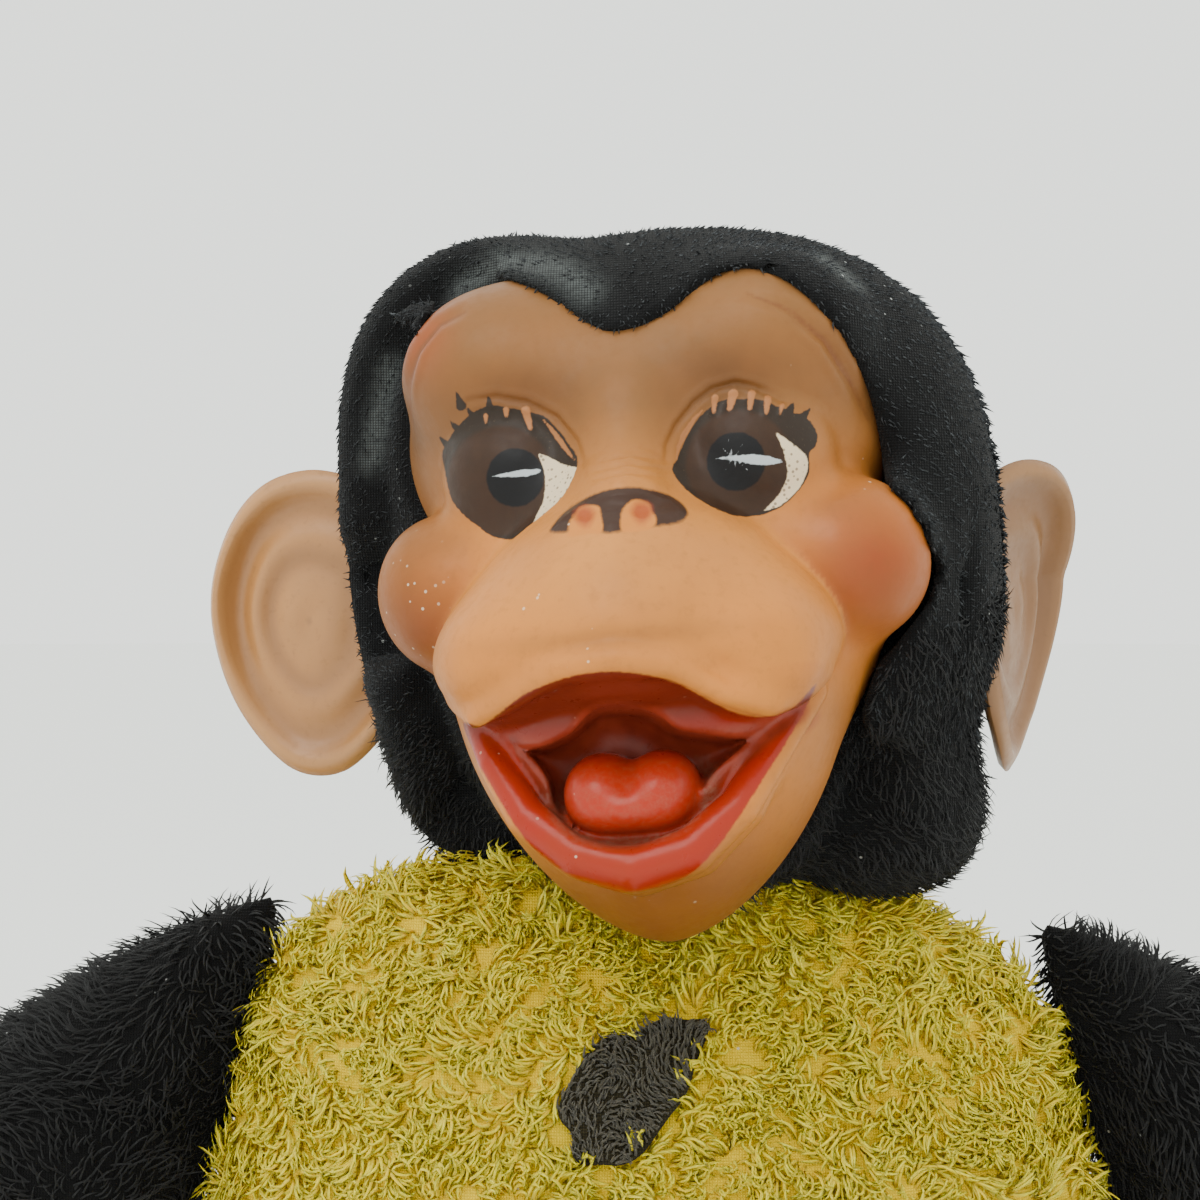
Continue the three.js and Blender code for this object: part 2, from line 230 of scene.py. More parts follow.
def line_gap(x, z, path):
    """Distance to an open path in the plane, and the share of the way along it."""
    p, path = np.stack([x, z], -1), np.asarray(path, float)
    best, where = np.full(len(p), 1e9), np.zeros(len(p))
    for i, (a, b) in enumerate(zip(path, path[1:])):
        along = np.clip(((p - a) @ (b - a)) / ((b - a) @ (b - a)), 0, 1)
        gap = np.linalg.norm(p - a - along[:, None] * (b - a), axis=1)
        closer = gap < best
        best[closer] = gap[closer]
        where[closer] = (i + along[closer]) / (len(path) - 1)
    return best, where


def region(x, z, curve):
    """Signed distance to a closed curve in the plane, below 0 inside it."""
    gap, _ = line_gap(x, z, np.vstack([curve, curve[:1]]))
    inside = np.zeros(len(x), bool)
    for (ax, az), (bx, bz) in zip(curve, np.roll(curve, -1, 0)):
        if az != bz:
            inside ^= ((az > z) != (bz > z)) & (x < (bx - ax) * (z - az) / (bz - az) + ax)
    return np.where(inside, -gap, gap)


def round_gap(x, z, centre, size):
    """Signed distance to a circle in the plane."""
    return np.hypot(x - centre[0], z - centre[1]) - size


def pulse(gap, width):
    """1 where gap is 0, fading to nothing over about twice width."""
    return np.exp(-((gap / width) ** 2))


# ---------------------------------------------------------------- the face

# Outlines on the face as seen from its front, as x and z.
FACE_EDGE = [
    (-2.8, 50.4), (4, 51), (11.6, 54), (19.5, 59.2), (27.6, 61.4), (35.2, 58.9), (42.8, 52.3), (49.2, 42.4),
    (53.3, 31.7), (55, 20.4), (55.5, 11), (60, 5), (64.4, -6.8), (62.2, -15.4), (55, -23.6), (50, -29),
    (46, -38.3), (43.5, -49.1), (37, -62), (28, -75), (14, -85), (0, -88), (-15, -86), (-28, -76),
    (-38, -62), (-44, -48), (-48, -33), (-52.6, -20), (-59.8, -11.7), (-61.4, -2.4), (-59.8, 4.4),
    (-56.8, 13), (-57.4, 20.3), (-57.2, 29.6), (-54.9, 40.8), (-51.4, 48.6), (-44.6, 58.2), (-35.4, 66.6),
    (-26, 65.4), (-17, 60.6), (-9, 54),
]
LIPS = [
    (-35.7, -32.3), (-31.4, -33.7), (-27.7, -31.9), (-21.7, -28.2), (-15.1, -26), (-8, -24.8), (-1, -25),
    (5.8, -26.4), (11.2, -28.4), (16.4, -31.6), (21.6, -34.7), (26.3, -36.1), (30.4, -36.3), (34.6, -34.7),
    (39.4, -30.6), (32.6, -41.3), (27.2, -48.4), (21.9, -54.8), (15.9, -61.2), (10, -65.5), (2.9, -67.5),
    (-3.5, -67.9), (-9.5, -66.7), (-15.6, -63.8), (-21.5, -59.3), (-26, -53.5), (-30.3, -45.5),
    (-34.2, -37.6),
]
MOUTH = [
    (-31, -35.8), (-24.6, -37.2), (-19, -37.4), (-13.1, -35.7), (-10.1, -33.3), (-7.2, -31.4), (-2.9, -30.8),
    (2.6, -31.5), (7.3, -33.6), (10.5, -36.2), (15.9, -37.5), (22.6, -38.4), (27.4, -37.8), (33.6, -35.5),
    (28, -40.3), (23.6, -44), (18.4, -47.7), (14.6, -52.2), (10.1, -56.7), (4.3, -60), (-1.4, -61.3),
    (-7, -61), (-12.4, -58.9), (-16.3, -55.5), (-18.7, -51.2), (-19.7, -45.7), (-23.5, -40.5), (-27.3, -38),
]
NOSE = [
    (-13.3, 5.4), (-13.2, 6.5), (-10.1, 9.5), (-6.9, 11.3), (-2.9, 12.7), (1.1, 13.3), (4.9, 13.1),
    (8.6, 12.2), (12.4, 10.7), (14.7, 8.7), (15.6, 6.9), (14.7, 5.4), (12.6, 4.7), (10, 4.6), (7.1, 4.6),
    (3.7, 4.9), (1, 4.1), (-1.6, 4), (-3.7, 4.7), (-6.2, 5.2), (-9.9, 5.1),
]
NOSTRILS = [
    dict(edge=[(-6.2, 9.9), (-2.9, 9.6), (-2.4, 7.2), (-2.6, 4.4), (-6.2, 4.2), (-10, 4.4), (-7.6, 8.7)],
         red=((-5.9, 7.9), 2.0)),
    dict(edge=[(3.9, 10.1), (5.7, 10.3), (7.5, 9.1), (8.2, 7), (8.8, 5.2), (7.1, 4), (3.7, 3.9), (1.4, 4.4),
               (2.1, 8.2)],
         red=((6, 7.6), 2.1)),
]
EYES = {
    "right": dict(
        patch=[(-41.3, 26.4), (-40, 28.8), (-37.9, 31.4), (-35.1, 33.7), (-32.3, 35.2), (-29.1, 35.9),
               (-25.2, 35), (-21.2, 33.8), (-17.7, 32.4), (-15.2, 29.9), (-13, 26.6), (-11, 22.8),
               (-11, 20.3), (-11.4, 18.6), (-13.5, 14.4), (-15.8, 10.9), (-19.2, 7.4), (-22.4, 6),
               (-25.7, 5.7), (-28.9, 6), (-31.9, 7.2), (-34.5, 9.5), (-37.3, 12.1), (-39.5, 15.1),
               (-40.6, 18.8), (-41, 22.7)],
        white=[(-19.5, 23.9), (-18.4, 23.8), (-15.9, 22.3), (-13.5, 20.9), (-11.2, 20.1), (-10.8, 18.5),
               (-12.4, 15.2), (-14.6, 11.5), (-18.1, 8.4), (-21, 6.9), (-23.4, 6.6), (-22.6, 8),
               (-21.4, 10.1), (-19.7, 12.8), (-18.8, 15.5), (-18.5, 18.5), (-18.7, 21.1)],
        iris=((-28.6, 19.0), 12.2), pupil=((-25.2, 19.4), 6.5),
        glint=[(-30.4, 20.2), (-27, 20.6), (-23.5, 20.9), (-19.8, 20.7), (-19.6, 20), (-23, 19.4),
               (-27, 19.7)],
        glint_star_lines=[],
        teeth=[((-30.6, 33.9), (-30.6, 32.2), 0.5), ((-25.8, 34.6), (-25.9, 33.2), 0.7),
               ((-21.4, 34), (-20.8, 29.9), 1.0)],
        spikes=[((-39.2, 27.4), (-41.6, 30.2)), ((-36.6, 30.6), (-38.9, 33.5)), ((-33, 33), (-34.8, 36)),
                ((-29.2, 34.8), (-30, 38)), ((-36, 36.6), (-36.9, 39.7))],
        lid=[(-17.6, 31.4), (-16.2, 29.6), (-14.4, 26.6), (-12.6, 23.6), (-11.5, 22)],
        crease=[(-34, 37.4), (-28, 37.6), (-21, 35.6), (-15, 31.8), (-11, 26), (-9.8, 21)],
    ),
    "left": dict(
        patch=[(11.2, 20.1), (10, 17.4), (12, 13.7), (15.2, 10.6), (18.7, 8.3), (22.1, 6.6), (25, 6),
               (28.5, 6), (31.5, 6.8), (34.7, 8.5), (37.4, 11), (39.3, 13.5), (39.9, 16), (40, 18.2),
               (41.6, 20), (42.1, 22.2), (41.1, 24.8), (39.5, 26.5), (36.7, 27.8), (33.5, 29.3), (30.1, 31),
               (26.2, 31.6), (21.9, 31.6), (19, 30.1), (16.2, 27.9), (13.6, 24.3)],
        white=[(33.2, 23.6), (34.9, 22.2), (37.2, 20.2), (39, 18.3), (39.6, 16.5), (38.8, 13.6),
               (36.9, 10.8), (34.2, 8.5), (31.6, 7.3), (29, 6.8), (30.6, 8.1), (33.1, 10.6), (34.6, 13.3),
               (35, 15.7), (34.6, 19), (33.8, 21.6)],
        iris=((24.6, 17.6), 11.6), pupil=((24, 18.1), 6.4),
        glint=[(19, 19.3), (23, 19.3), (27, 19.3), (30.6, 18.7), (33.4, 17.6), (34, 17), (31.5, 16.7),
               (28, 17.1), (23.5, 18.4)],
        glint_star_lines=[((22.8, 23), (24.2, 15)), ((21.4, 21.2), (26.4, 16)), ((21.4, 16.4), (25.8, 21.6))],
        teeth=[((20.6, 32.4), (20.2, 29.2), 0.8), ((24.7, 32.8), (23.7, 29.6), 1.1),
               ((28.7, 32.4), (28, 29.2), 0.9),
               ((32.1, 31), (31.4, 27.8), 0.8), ((35, 29.2), (34.4, 27.4), 0.5)],
        spikes=[((39, 26), (41, 28)), ((36.4, 27.6), (37.6, 29.6))],
        lid=[(11.0, 19.6), (11.6, 22.4), (13.2, 25.2), (15.6, 28.2), (17.6, 30)],
        crease=[(8.9, 20.1), (9.4, 23.1), (11.9, 27.3), (16.1, 31.7), (20.1, 34.2), (25.2, 35.1), (28.8, 34),
                (32, 32.4), (35.4, 30.4)],
    ),
}
CRESCENTS = [
    [(-54, 34), (-51.5, 43), (-47.5, 51), (-41.5, 56.5), (-34, 58.5)],
    [(29, 55), (38, 50.5), (45.5, 43), (50, 34), (52.5, 26)],
]
WRINKLES = [[(-4.5, 20.2), (3, 21.2), (10.5, 18.8)], [(-6, 18), (3.3, 19.2), (11.5, 16.8)], [(-5.5, 16.2),
                                                                                             (3, 17.2),
                                                                                             (10.5, 15.2)]]
UPPER_LIP = [(-40, -70, -29), (-33, -84, -32.5), (-24, -91, -29), (-12, -97, -23.6), (0, -98.5, -22.3),
             (11, -97, -24.4), (21, -92, -31), (30, -86, -34.5), (39, -68, -29)]
LOWER_LIP = [(-38, -64, -34), (-32.5, -72, -43), (-25, -78, -54.5), (-14, -82, -62.6), (-2, -84, -66),
             (10, -82, -63.4), (20, -77.5, -55.5), (29, -70, -43.5), (37, -60, -33)]
# Its three lobes, each a centre and its half sizes.
TONGUE = [((-9, -72, -50.5), (8.5, 13, 8.4)), ((3.5, -72, -51), (8.5, 13, 8.6)),
          ((-3.5, -73, -53.5), (12.5, 13, 6.0))]
# The face paint is laid out as seen from in front of the face and a little to its left.
SEEN_FROM = (74.0, -525.0, -10.0)


def as_seen(points, level):
    """Where the lines from SEEN_FROM to the points cross the plane y = level, as x and z."""
    share = (level - SEEN_FROM[1]) / (points[:, 1] - SEEN_FROM[1])
    return [SEEN_FROM[k] + (points[:, k] - SEEN_FROM[k]) * share for k in (0, 2)]


def tongue_field(p):
    made = ellipsoid(p, *TONGUE[0])
    for centre, half in TONGUE[1:]:
        made = union(made, ellipsoid(p, centre, half), 3)
    return made


def eyeball(p, side):
    return ellipsoid(p, (side * 26.0, -45.5, 20.3), (19, 17, 18))


def muzzle_form(p):
    """Bell-shaped from the front: narrow at the nose, full at the lip."""
    half = np.where(p[:, 2:] > -21, np.float32([42.5, 44, 37]), np.float32([42.5, 44, 16]))
    made = squarish(p, (-1, -55, -21), half, 1.75)
    for x in (-27, 26):
        made = union(made, ellipsoid(p, (x, -67, -21), (17, 25, 14)), 8)
    return made


def face_form(p):
    """The rounded masses of the face, without the mouth."""
    made = ellipsoid(p, (0, -16, 29), (59, 46, 45))
    for side in (-1, 1):
        made = union(made, ellipsoid(p, (side * 29, -37, 45), (25, 23, 21)), 8)
        made = cut(made, ellipsoid(p, (side * 26, -75, 22), (19, 16, 18)), 7)
        made = union(made, eyeball(p, side), 2.0)
    made = union(made, tube(p, [(0, -56, 30), (0, -64, 18), (1, -72, 11)], [8, 8, 8]), 9)
    jaw = squarish(p, (-2, -38, -28), (45.5, 46, 60), 1.65)
    jaw = union(jaw, ellipsoid(p, (0, -26, -20), (51, 34, 30)), 10)
    made = union(made, jaw, 8)
    for side in (-1, 1):
        cheek = ellipsoid(p, (side * 43.5, -38, -6), (20, 24, 18.5))
        cheek = union(cheek, tube(p, [(side * 33, -50, 1), (side * 47, -44, 0)], [9, 12]), 8)
        made = union(made, cheek, 6)
    return union(made, muzzle_form(p), 2.5)


mouth_curve = outline(MOUTH)
# The lower lip is painted a little further down than LIPS says.
lips_curve = outline([(x, z + 0.11 * min(z + 48, 0)) for x, z in LIPS])
face_edge = outline(FACE_EDGE)
nose_curve = outline(NOSE)
# The levels, as y, of the mouth, nose and eyes, where their outlines are laid out.
MOUTH_LEVEL, NOSE_LEVEL, EYE_LEVEL, EDGE_LEVEL = -88, -84, -60, -50


def face_field(p):
    """The whole face: its masses, with lips, the pocket of the mouth and the tongue."""
    made = face_form(p)
    made = union(made, ellipsoid(p, (27, -77, -28), (12, 13, 8)), 5)
    made = union(made, tube(p, UPPER_LIP, [1.2, 1.8, 2.0, 2.2, 2.4, 2.2, 2.2, 2.2, 1.4]), 4)
    made = union(made, tube(p, LOWER_LIP, [2.5, 3.5, 4.4, 5, 5.2, 5, 4.4, 3.5, 2.5]), 2)
    behind_lip = [(x, y + 8, z - 0.5) for x, y, z in LOWER_LIP]
    made = union(made, tube(p, behind_lip, [2, 3, 5, 6, 6.4, 6, 5, 3, 2]), 2)
    near = (p[:, 2] < -18) & (p[:, 1] < -40) & (np.abs(p[:, 0]) < 55)
    cavity = np.full(len(p), 50, np.float32)
    q = p[near]
    hole = region(*as_seen(q, MOUTH_LEVEL), mouth_curve) + 0.1 * np.maximum(q[:, 1] + 92, 0)
    floor = -62 - 15 * np.clip((-50 - q[:, 2]) / 9, 0, 1)
    cavity[near] = -union(-hole, floor - q[:, 1], 5)
    made = cut(made, cavity, 1.6)
    return union(made, tongue_field(p), 1.5)


# ---------------------------------------------------------------- materials


class Nodes:
    """A small helper that adds shader nodes and joins them up."""

    def __init__(self, name):
        self.material = bpy.data.materials.new(name)
        self.material.use_nodes = True
        self.tree = self.material.node_tree
        self.tree.nodes.clear()
        self.shader = self.add("ShaderNodeBsdfPrincipled")
        out = self.add("ShaderNodeOutputMaterial")
        self.tree.links.new(self.shader.outputs[0], out.inputs[0])
        self.where = self.add("ShaderNodeTexCoord").outputs["Object"]

    def add(self, kind, **values):
        node = self.tree.nodes.new(kind)
        for key, value in values.items():
            setattr(node, key, value)
        return node

    def put(self, socket, value):
        if isinstance(value, bpy.types.NodeSocket):
            self.tree.links.new(value, socket)
        elif isinstance(value, tuple) and len(value) == 3 and socket.type == "RGBA":
            socket.default_value = (*value, 1)
        else:
            socket.default_value = value

    def attribute(self, name, output="Fac"):
        return self.add("ShaderNodeAttribute", attribute_name=name).outputs[output]

    def times(self, a, b):
        return self.maths("MULTIPLY", a, b)

    def maths(self, kind, *values):
        node = self.add("ShaderNodeMath", operation=kind)
        for socket, value in zip(node.inputs, values):
            self.put(socket, value)
        return node.outputs[0]

    def noise(self, scale, detail=3, rough=0.5, where=None):
        node = self.add("ShaderNodeTexNoise")
        self.put(node.inputs["Vector"], where or self.where)
        node.inputs["Scale"].default_value = scale
        node.inputs["Detail"].default_value = detail
        node.inputs["Roughness"].default_value = rough
        return node.outputs["Fac"]

    def cells(self, scale):
        node = self.add("ShaderNodeTexVoronoi")
        self.put(node.inputs["Vector"], self.where)
        node.inputs["Scale"].default_value = scale
        return node.outputs["Distance"]

    def fit(self, value, low, high, to_low=0.0, to_high=1.0):
        """The value, from low..high to to_low..to_high and no further."""
        node = self.add("ShaderNodeMapRange", clamp=True)
        self.put(node.inputs[0], value)
        for socket, number in zip(node.inputs[1:5], (low, high, to_low, to_high)):
            self.put(socket, number)
        return node.outputs[0]

    def mix(self, share, a, b):
        node = self.add("ShaderNodeMix", data_type="RGBA")
        self.put(node.inputs[0], share)
        self.put(node.inputs[6], a)
        self.put(node.inputs[7], b)
        return node.outputs[2]

    def bump(self, height, strength, distance, under=None):
        node = self.add("ShaderNodeBump")
        node.inputs["Strength"].default_value = strength
        node.inputs["Distance"].default_value = distance
        self.put(node.inputs["Height"], height)
        if under is not None:
            self.put(node.inputs["Normal"], under)
        return node.outputs[0]

    def finish(self, **values):
        for key, value in values.items():
            self.put(self.shader.inputs[key.replace("_", " ").title().replace("Ior", "IOR")], value)
        return self.material


def rgb(red, green, blue):
    """A display colour of 0 to 255 as a linear one."""
    shares = (red / 255, green / 255, blue / 255)
    return tuple(c / 12.92 if c <= 0.04045 else ((c + 0.055) / 1.055) ** 2.4 for c in shares)


SKIN = rgb(200, 124, 50)
BROW_SKIN = rgb(120, 84, 48)
SHADE = rgb(80, 50, 24)
BLUSH = rgb(146, 46, 16)
PINK = rgb(160, 72, 40)
RED = rgb(150, 40, 10)
MOUTH_DARK = rgb(142, 54, 34)
NOSE_BROWN = rgb(58, 38, 28)
EYE_BROWN = rgb(44, 28, 18)
LID_BROWN = rgb(42, 32, 24)
PUPIL = rgb(14, 13, 15)
EYE_WHITE = rgb(218, 198, 164)
GLINT = rgb(176, 184, 188)


def skin_material():
    """Painted vinyl: each paint is laid where its distance attribute is below zero."""
    n = Nodes("painted_vinyl")
    waver = n.times(n.maths("SUBTRACT", n.noise(900, 2), 0.5), 0.5)

    def laid(name, soft=0.16, ragged=1.0):
        gap = n.maths("ADD", n.attribute(name), n.times(waver, ragged))
        return n.fit(gap, soft, -soft)

    blotch = n.noise(38, 4, 0.55)
    fine = n.noise(420, 4, 0.6)
    red = n.mix(n.fit(blotch, 0.4, 0.65), RED, rgb(156, 30, 10))
    lips, tongue, eye = laid("lips", 0.2), laid("tongue", 0.5), laid("eye", 0.14)
    dusty = n.times(laid("dust", 1.4, 3), n.fit(n.noise(700, 4, 0.7), 0.4, 0.62, 0.1, 0.75))
    worn_lid = n.fit(n.noise(1500, 3, 0.7), 0.62, 0.72, 0, 0.35)
    fleck = n.fit(n.cells(760), 0.2, 0.3, 0.8, 0)
    scattered = n.maths("ADD", n.fit(n.noise(60, 2), 0.62, 0.66, 0, 0.6), n.attribute("crumbs"))
    crumbs = n.times(n.fit(n.cells(300), 0.13, 0.09), scattered)
    # From the bare skin up, each layer of dirt, paint, painted shade or painted highlight with the share of it that
    # shows.
    layers = [
        (n.fit(blotch, 0.35, 0.7, 0, 0.34), rgb(156, 96, 44)),
        (n.fit(fine, 0.52, 0.8, 0, 0.24), rgb(120, 74, 36)),
        (n.fit(n.noise(17, 3, 0.6), 0.45, 0.75, 0, 0.28), rgb(118, 76, 40)),
        # painted shade in the moulded crescent grooves of the brow
        (laid("groove_shade", 0.5), rgb(112, 66, 34)),
        (lips, n.mix(n.attribute("upper"), red, rgb(108, 34, 16))),
        (laid("mouth", 0.9), n.mix(n.fit(n.noise(160, 4), 0.4, 0.7), MOUTH_DARK, rgb(120, 40, 24))),
        (tongue, rgb(166, 38, 10)),
        (dusty, rgb(140, 96, 76)),
        (laid("nose", 0.35), NOSE_BROWN),
        (laid("nostril", 0.3), SKIN),
        (n.times(laid("nostril_red", 0.8), 0.75), rgb(150, 54, 30)),
        (eye, n.mix(worn_lid, LID_BROWN, rgb(90, 74, 56))),
        (n.times(laid("iris", 0.5), eye), n.mix(n.noise(260, 3), EYE_BROWN, rgb(58, 38, 24))),
        (laid("white", 0.14), n.mix(fleck, EYE_WHITE, rgb(120, 104, 84))),
        (laid("pupil", 0.2), PUPIL),
        (laid("glint", 0.12), GLINT),
        # the moulded lash teeth, and a painted highlight along the rim of the upper lid
        (laid("teeth", 0.16), rgb(160, 104, 62)),
        (laid("spikes", 0.14), LID_BROWN),
        (n.times(crumbs, 0.8), rgb(232, 214, 186)),
    ]
    colour = n.attribute("tone", "Color")
    for share, paint in layers:
        colour = n.mix(share, colour, paint)
    glossy = n.maths("MAXIMUM", lips, n.maths("MAXIMUM", tongue, n.attribute("gloss")))
    rough = n.maths("ADD", n.fit(glossy, 0, 1, 0.46, 0.3), n.fit(fine, 0.3, 0.8, -0.04, 0.1))
    rough = n.maths("ADD", rough, n.times(dusty, 0.3))
    soft = n.bump(n.noise(110, 3, 0.5), 0.25, 0.0012)
    normal = n.bump(n.noise(900, 3, 0.6), 0.12, 0.0003, soft)
    return n.finish(
        base_color=colour, roughness=rough, normal=normal, subsurface_weight=0.06,
        subsurface_radius=(0.004, 0.0018, 0.001), coat_weight=n.fit(glossy, 0, 1, 0.02, 0.16),
        coat_roughness=0.22, specular_ior_level=0.24, ior=1.45,
    )


# ---------------------------------------------------------------- painting the face


def blob(x, z, centre, wide, tall):
    """1 at centre, fading away over about wide and tall."""
    return np.exp(-(((x - centre[0]) / wide) ** 2 + ((z - centre[1]) / tall) ** 2))


def plain_tone(colour, count):
    return np.tile(np.array(colour), (count, 1))


def tinted(tone, colour, share):
    return tone + (np.array(colour) - tone) * np.clip(share, 0, 1)[:, None]


def painted(points):
    """The paint distances and base tones at points of the face."""
    x, y, z = points.T.astype(float)
    front = y < -36
    away = np.full(len(x), 9.0)
    paint = {name: away.copy() for name in (
        "lips", "mouth", "tongue", "dust", "nose", "nostril", "nostril_red", "eye", "iris", "white",
        "pupil", "glint", "teeth", "spikes", "groove_shade")}

    def lay(name, near, gap):
        paint[name][near] = np.minimum(paint[name][near], gap)

    near = front & (z < -18) & (np.abs(x) < 50)
    a, c = as_seen(points[near], MOUTH_LEVEL)
    spots = points[near].astype(np.float32)
    off_lip = np.minimum(tube(spots, UPPER_LIP, [2] * 9), tube(spots, LOWER_LIP, [4] * 9)) - 7
    # On the side of the right cheek and below the lower lip's right half, the paint keeps to the lips.
    cheek = (spots[:, 0] < -22) & (spots[:, 1] > -74)
    outside = np.where(cheek, np.minimum(face_form(spots), 0) + 1.5, -9)
    off_lip = np.where(cheek | (spots[:, 0] < -8) & (spots[:, 2] < -44), off_lip, spots[:, 1] + 57)
    lay("lips", near, np.maximum(region(a, c, lips_curve), off_lip + np.maximum(outside + 2, 0)))
    inner = region(a, c, mouth_curve) - 0.25 * np.maximum(y[near] + 80, 0)
    lay("mouth", near, np.maximum(inner, outside))
    tongue = tongue_field(spots)
    lay("tongue", near, tongue - 0.9)
    lay("dust", near, np.maximum(np.abs(tongue - 2.2) - 1.6, c + 44))
    near = front & (np.abs(z - 8) < 12) & (np.abs(x) < 22)
    a, c = as_seen(points[near], NOSE_LEVEL)
    lay("nose", near, region(a, c, nose_curve))
    for hole in NOSTRILS:
        lay("nostril", near, region(a, c, outline(hole["edge"])))
        lay("nostril_red", near, round_gap(a, c, *hole["red"]))
    for eye in EYES.values():
        side = np.sign(eye["iris"][0][0])
        near = front & (z > 0) & (z < 46) & (x * side > 0)
        a, c = as_seen(points[near], EYE_LEVEL)
        off_ball = eyeball(points[near].astype(np.float32), side) - 9
        lay("eye", near, np.maximum(region(a, c, outline(eye["patch"])), off_ball))
        lay("white", near, np.maximum(region(a, c, outline(eye["white"], 3)), off_ball))
        for part in ("iris", "pupil"):
            lay(part, near, round_gap(a, c, *eye[part]))
        # The glint and the thin lines of its star are a painted reflection of the light on the eye.
        lay("glint", near, region(a, c, outline(eye["glint"])))
        for path in eye["glint_star_lines"]:
            lay("glint", near, line_gap(a, c, path)[0] - 0.03)
        for root, tip, wide in eye["teeth"]:
            gap, along = line_gap(a, c, [root, tip])
            lay("teeth", near, gap - wide * (1 - 0.5 * along))
        # A thin painted highlight along the rim of the upper lid, in the colour of the teeth.
        gap, along = line_gap(a, c, eye["lid"])
        lay("teeth", near, gap - 0.6 * np.sin(np.pi * np.clip(along, 0.1, 0.9)))
        for root, tip in eye["spikes"]:
            gap, along = line_gap(a, c, [root, tip])
            lay("spikes", near, gap - (1.2 - 1.05 * along))
    # Painted shade along the moulded crescent grooves of the brow.
    for path in CRESCENTS:
        gap, along = line_gap(x, z, path)
        groove_shade = np.where(front, gap - 0.5 * np.sin(np.pi * along), 9)
        paint["groove_shade"] = np.minimum(paint["groove_shade"], groove_shade)

    off_muzzle = muzzle_form(points.astype(np.float32)) > 1
    tone = plain_tone(SKIN, len(x))
    tone = tinted(tone, BROW_SKIN, np.clip((z - 6) / 26, 0, 1) * 0.95)
    for side in (-1, 1):
        tone = tinted(tone, SHADE, 0.85 * blob(x, z, (side * 23, 38), 17, 8))
        tone = tinted(tone, SHADE, 0.4 * blob(x, z, (side * 13, 26), 6, 12))
        tone = tinted(tone, SHADE, 0.3 * blob(x, z, (side * 44, 6), 9, 4))
    tone = tinted(tone, BLUSH, 0.95 * blob(x, z, (51, -8), 15, 16) * (x > 30) * off_muzzle)
    tone = tinted(tone, BLUSH, 0.7 * blob(x, z, (-51, -10), 13, 14) * off_muzzle)
    tone = tinted(tone, SHADE, 0.58 * np.clip((-x - 34) / 18, 0, 1) + 0.24 * np.clip((x - 36) / 18, 0, 1))
    tone = tinted(tone, PINK, 0.6 * blob(x, z, (-46, 55), 8, 10))
    tone = tinted(tone, SHADE, 0.35 * blob(x, z, (-2, -17.5), 26, 2.2) * front)
    # Painted shade: the chin darker towards its bottom.
    tone = tinted(tone, rgb(112, 62, 24), 0.85 * np.clip((-52 - z) / 22, 0, 1))
    tone = tinted(tone, SHADE, 0.42 * np.clip((x - 24) / 16, 0, 1) * np.clip((-26 - z) / 12, 0, 1))
    # Painted highlight: lighter and more orange over the middle of the muzzle and the nose.
    tone = tinted(tone, rgb(214, 146, 74), 0.45 * blob(x, z, (2, 0), 30, 14) * front)
    gloss = np.clip(blob(x, z, (46, 0), 8, 8) + 0.3 * blob(x, z, (0, 18), 10, 5), 0, 1)
    crumbs = 0.9 * blob(x, z, (-52, -8), 9, 12) * front
    upper = np.clip((z + 40) / 6, 0, 1)
    return {**paint, "gloss": gloss, "crumbs": crumbs, "upper": upper}, tone


def carved(points):
    """The face with its fine moulded lines pressed in or raised."""
    x, z = points[:, 0].astype(float), points[:, 2].astype(float)
    lift = np.zeros(len(points))
    for path in CRESCENTS:
        gap, along = line_gap(x, z, path)
        swell = np.sin(np.pi * along)
        lift += -1.0 * pulse(gap, 1.3) * swell**0.5 + 0.5 * pulse(gap - 2.6, 1.2) * swell
    for path in WRINKLES:
        gap, along = line_gap(x, z, path)
        lift += -0.55 * pulse(gap, 0.7) * np.sin(np.pi * along) ** 0.6
    for eye in EYES.values():
        side = np.sign(eye["iris"][0][0])
        near = (z > 0) & (z < 46) & (x * side > 0)
        a, c = as_seen(points[near], EYE_LEVEL)
        gap, along = line_gap(a, c, eye["crease"])
        swell = np.sin(np.pi * np.clip(along, 0.05, 0.95)) ** 0.5
        lift[near] += (0.35 * pulse(gap - 1.6, 0.8) - 0.8 * pulse(gap, 0.6)) * swell
        for root, tip, wide in eye["teeth"]:
            gap, _ = line_gap(a, c, [root, tip])
            lift[near] += 0.5 * pulse(gap, wide)
    near = (np.abs(z - 8) < 12) & (np.abs(x) < 22) & (points[:, 1] < -60)
    a, c = as_seen(points[near], NOSE_LEVEL)
    lift[near] += 0.9 * np.clip(-region(a, c, nose_curve) / 1.5, 0, 1)
    for hole in NOSTRILS:
        centre, size = hole["red"]
        lift[near] += -0.9 * pulse(round_gap(a, c, centre, 0), size)
    gap, along = line_gap(x, z, [(-26, -23), (-12, -19), (0, -17.6), (12, -19.5), (24, -25)])
    lift += -0.5 * pulse(gap, 1.4) * np.sin(np.pi * along)
    lift[points[:, 1] > -36] = 0
    return points + slope_of(face_field, points) * lift[:, None].astype(np.float32)


def face_field_open(p):
    """The face cut off flat at its back, inside the hood."""
    return cut(face_field(p), -p[:, 1] - 22, 2)


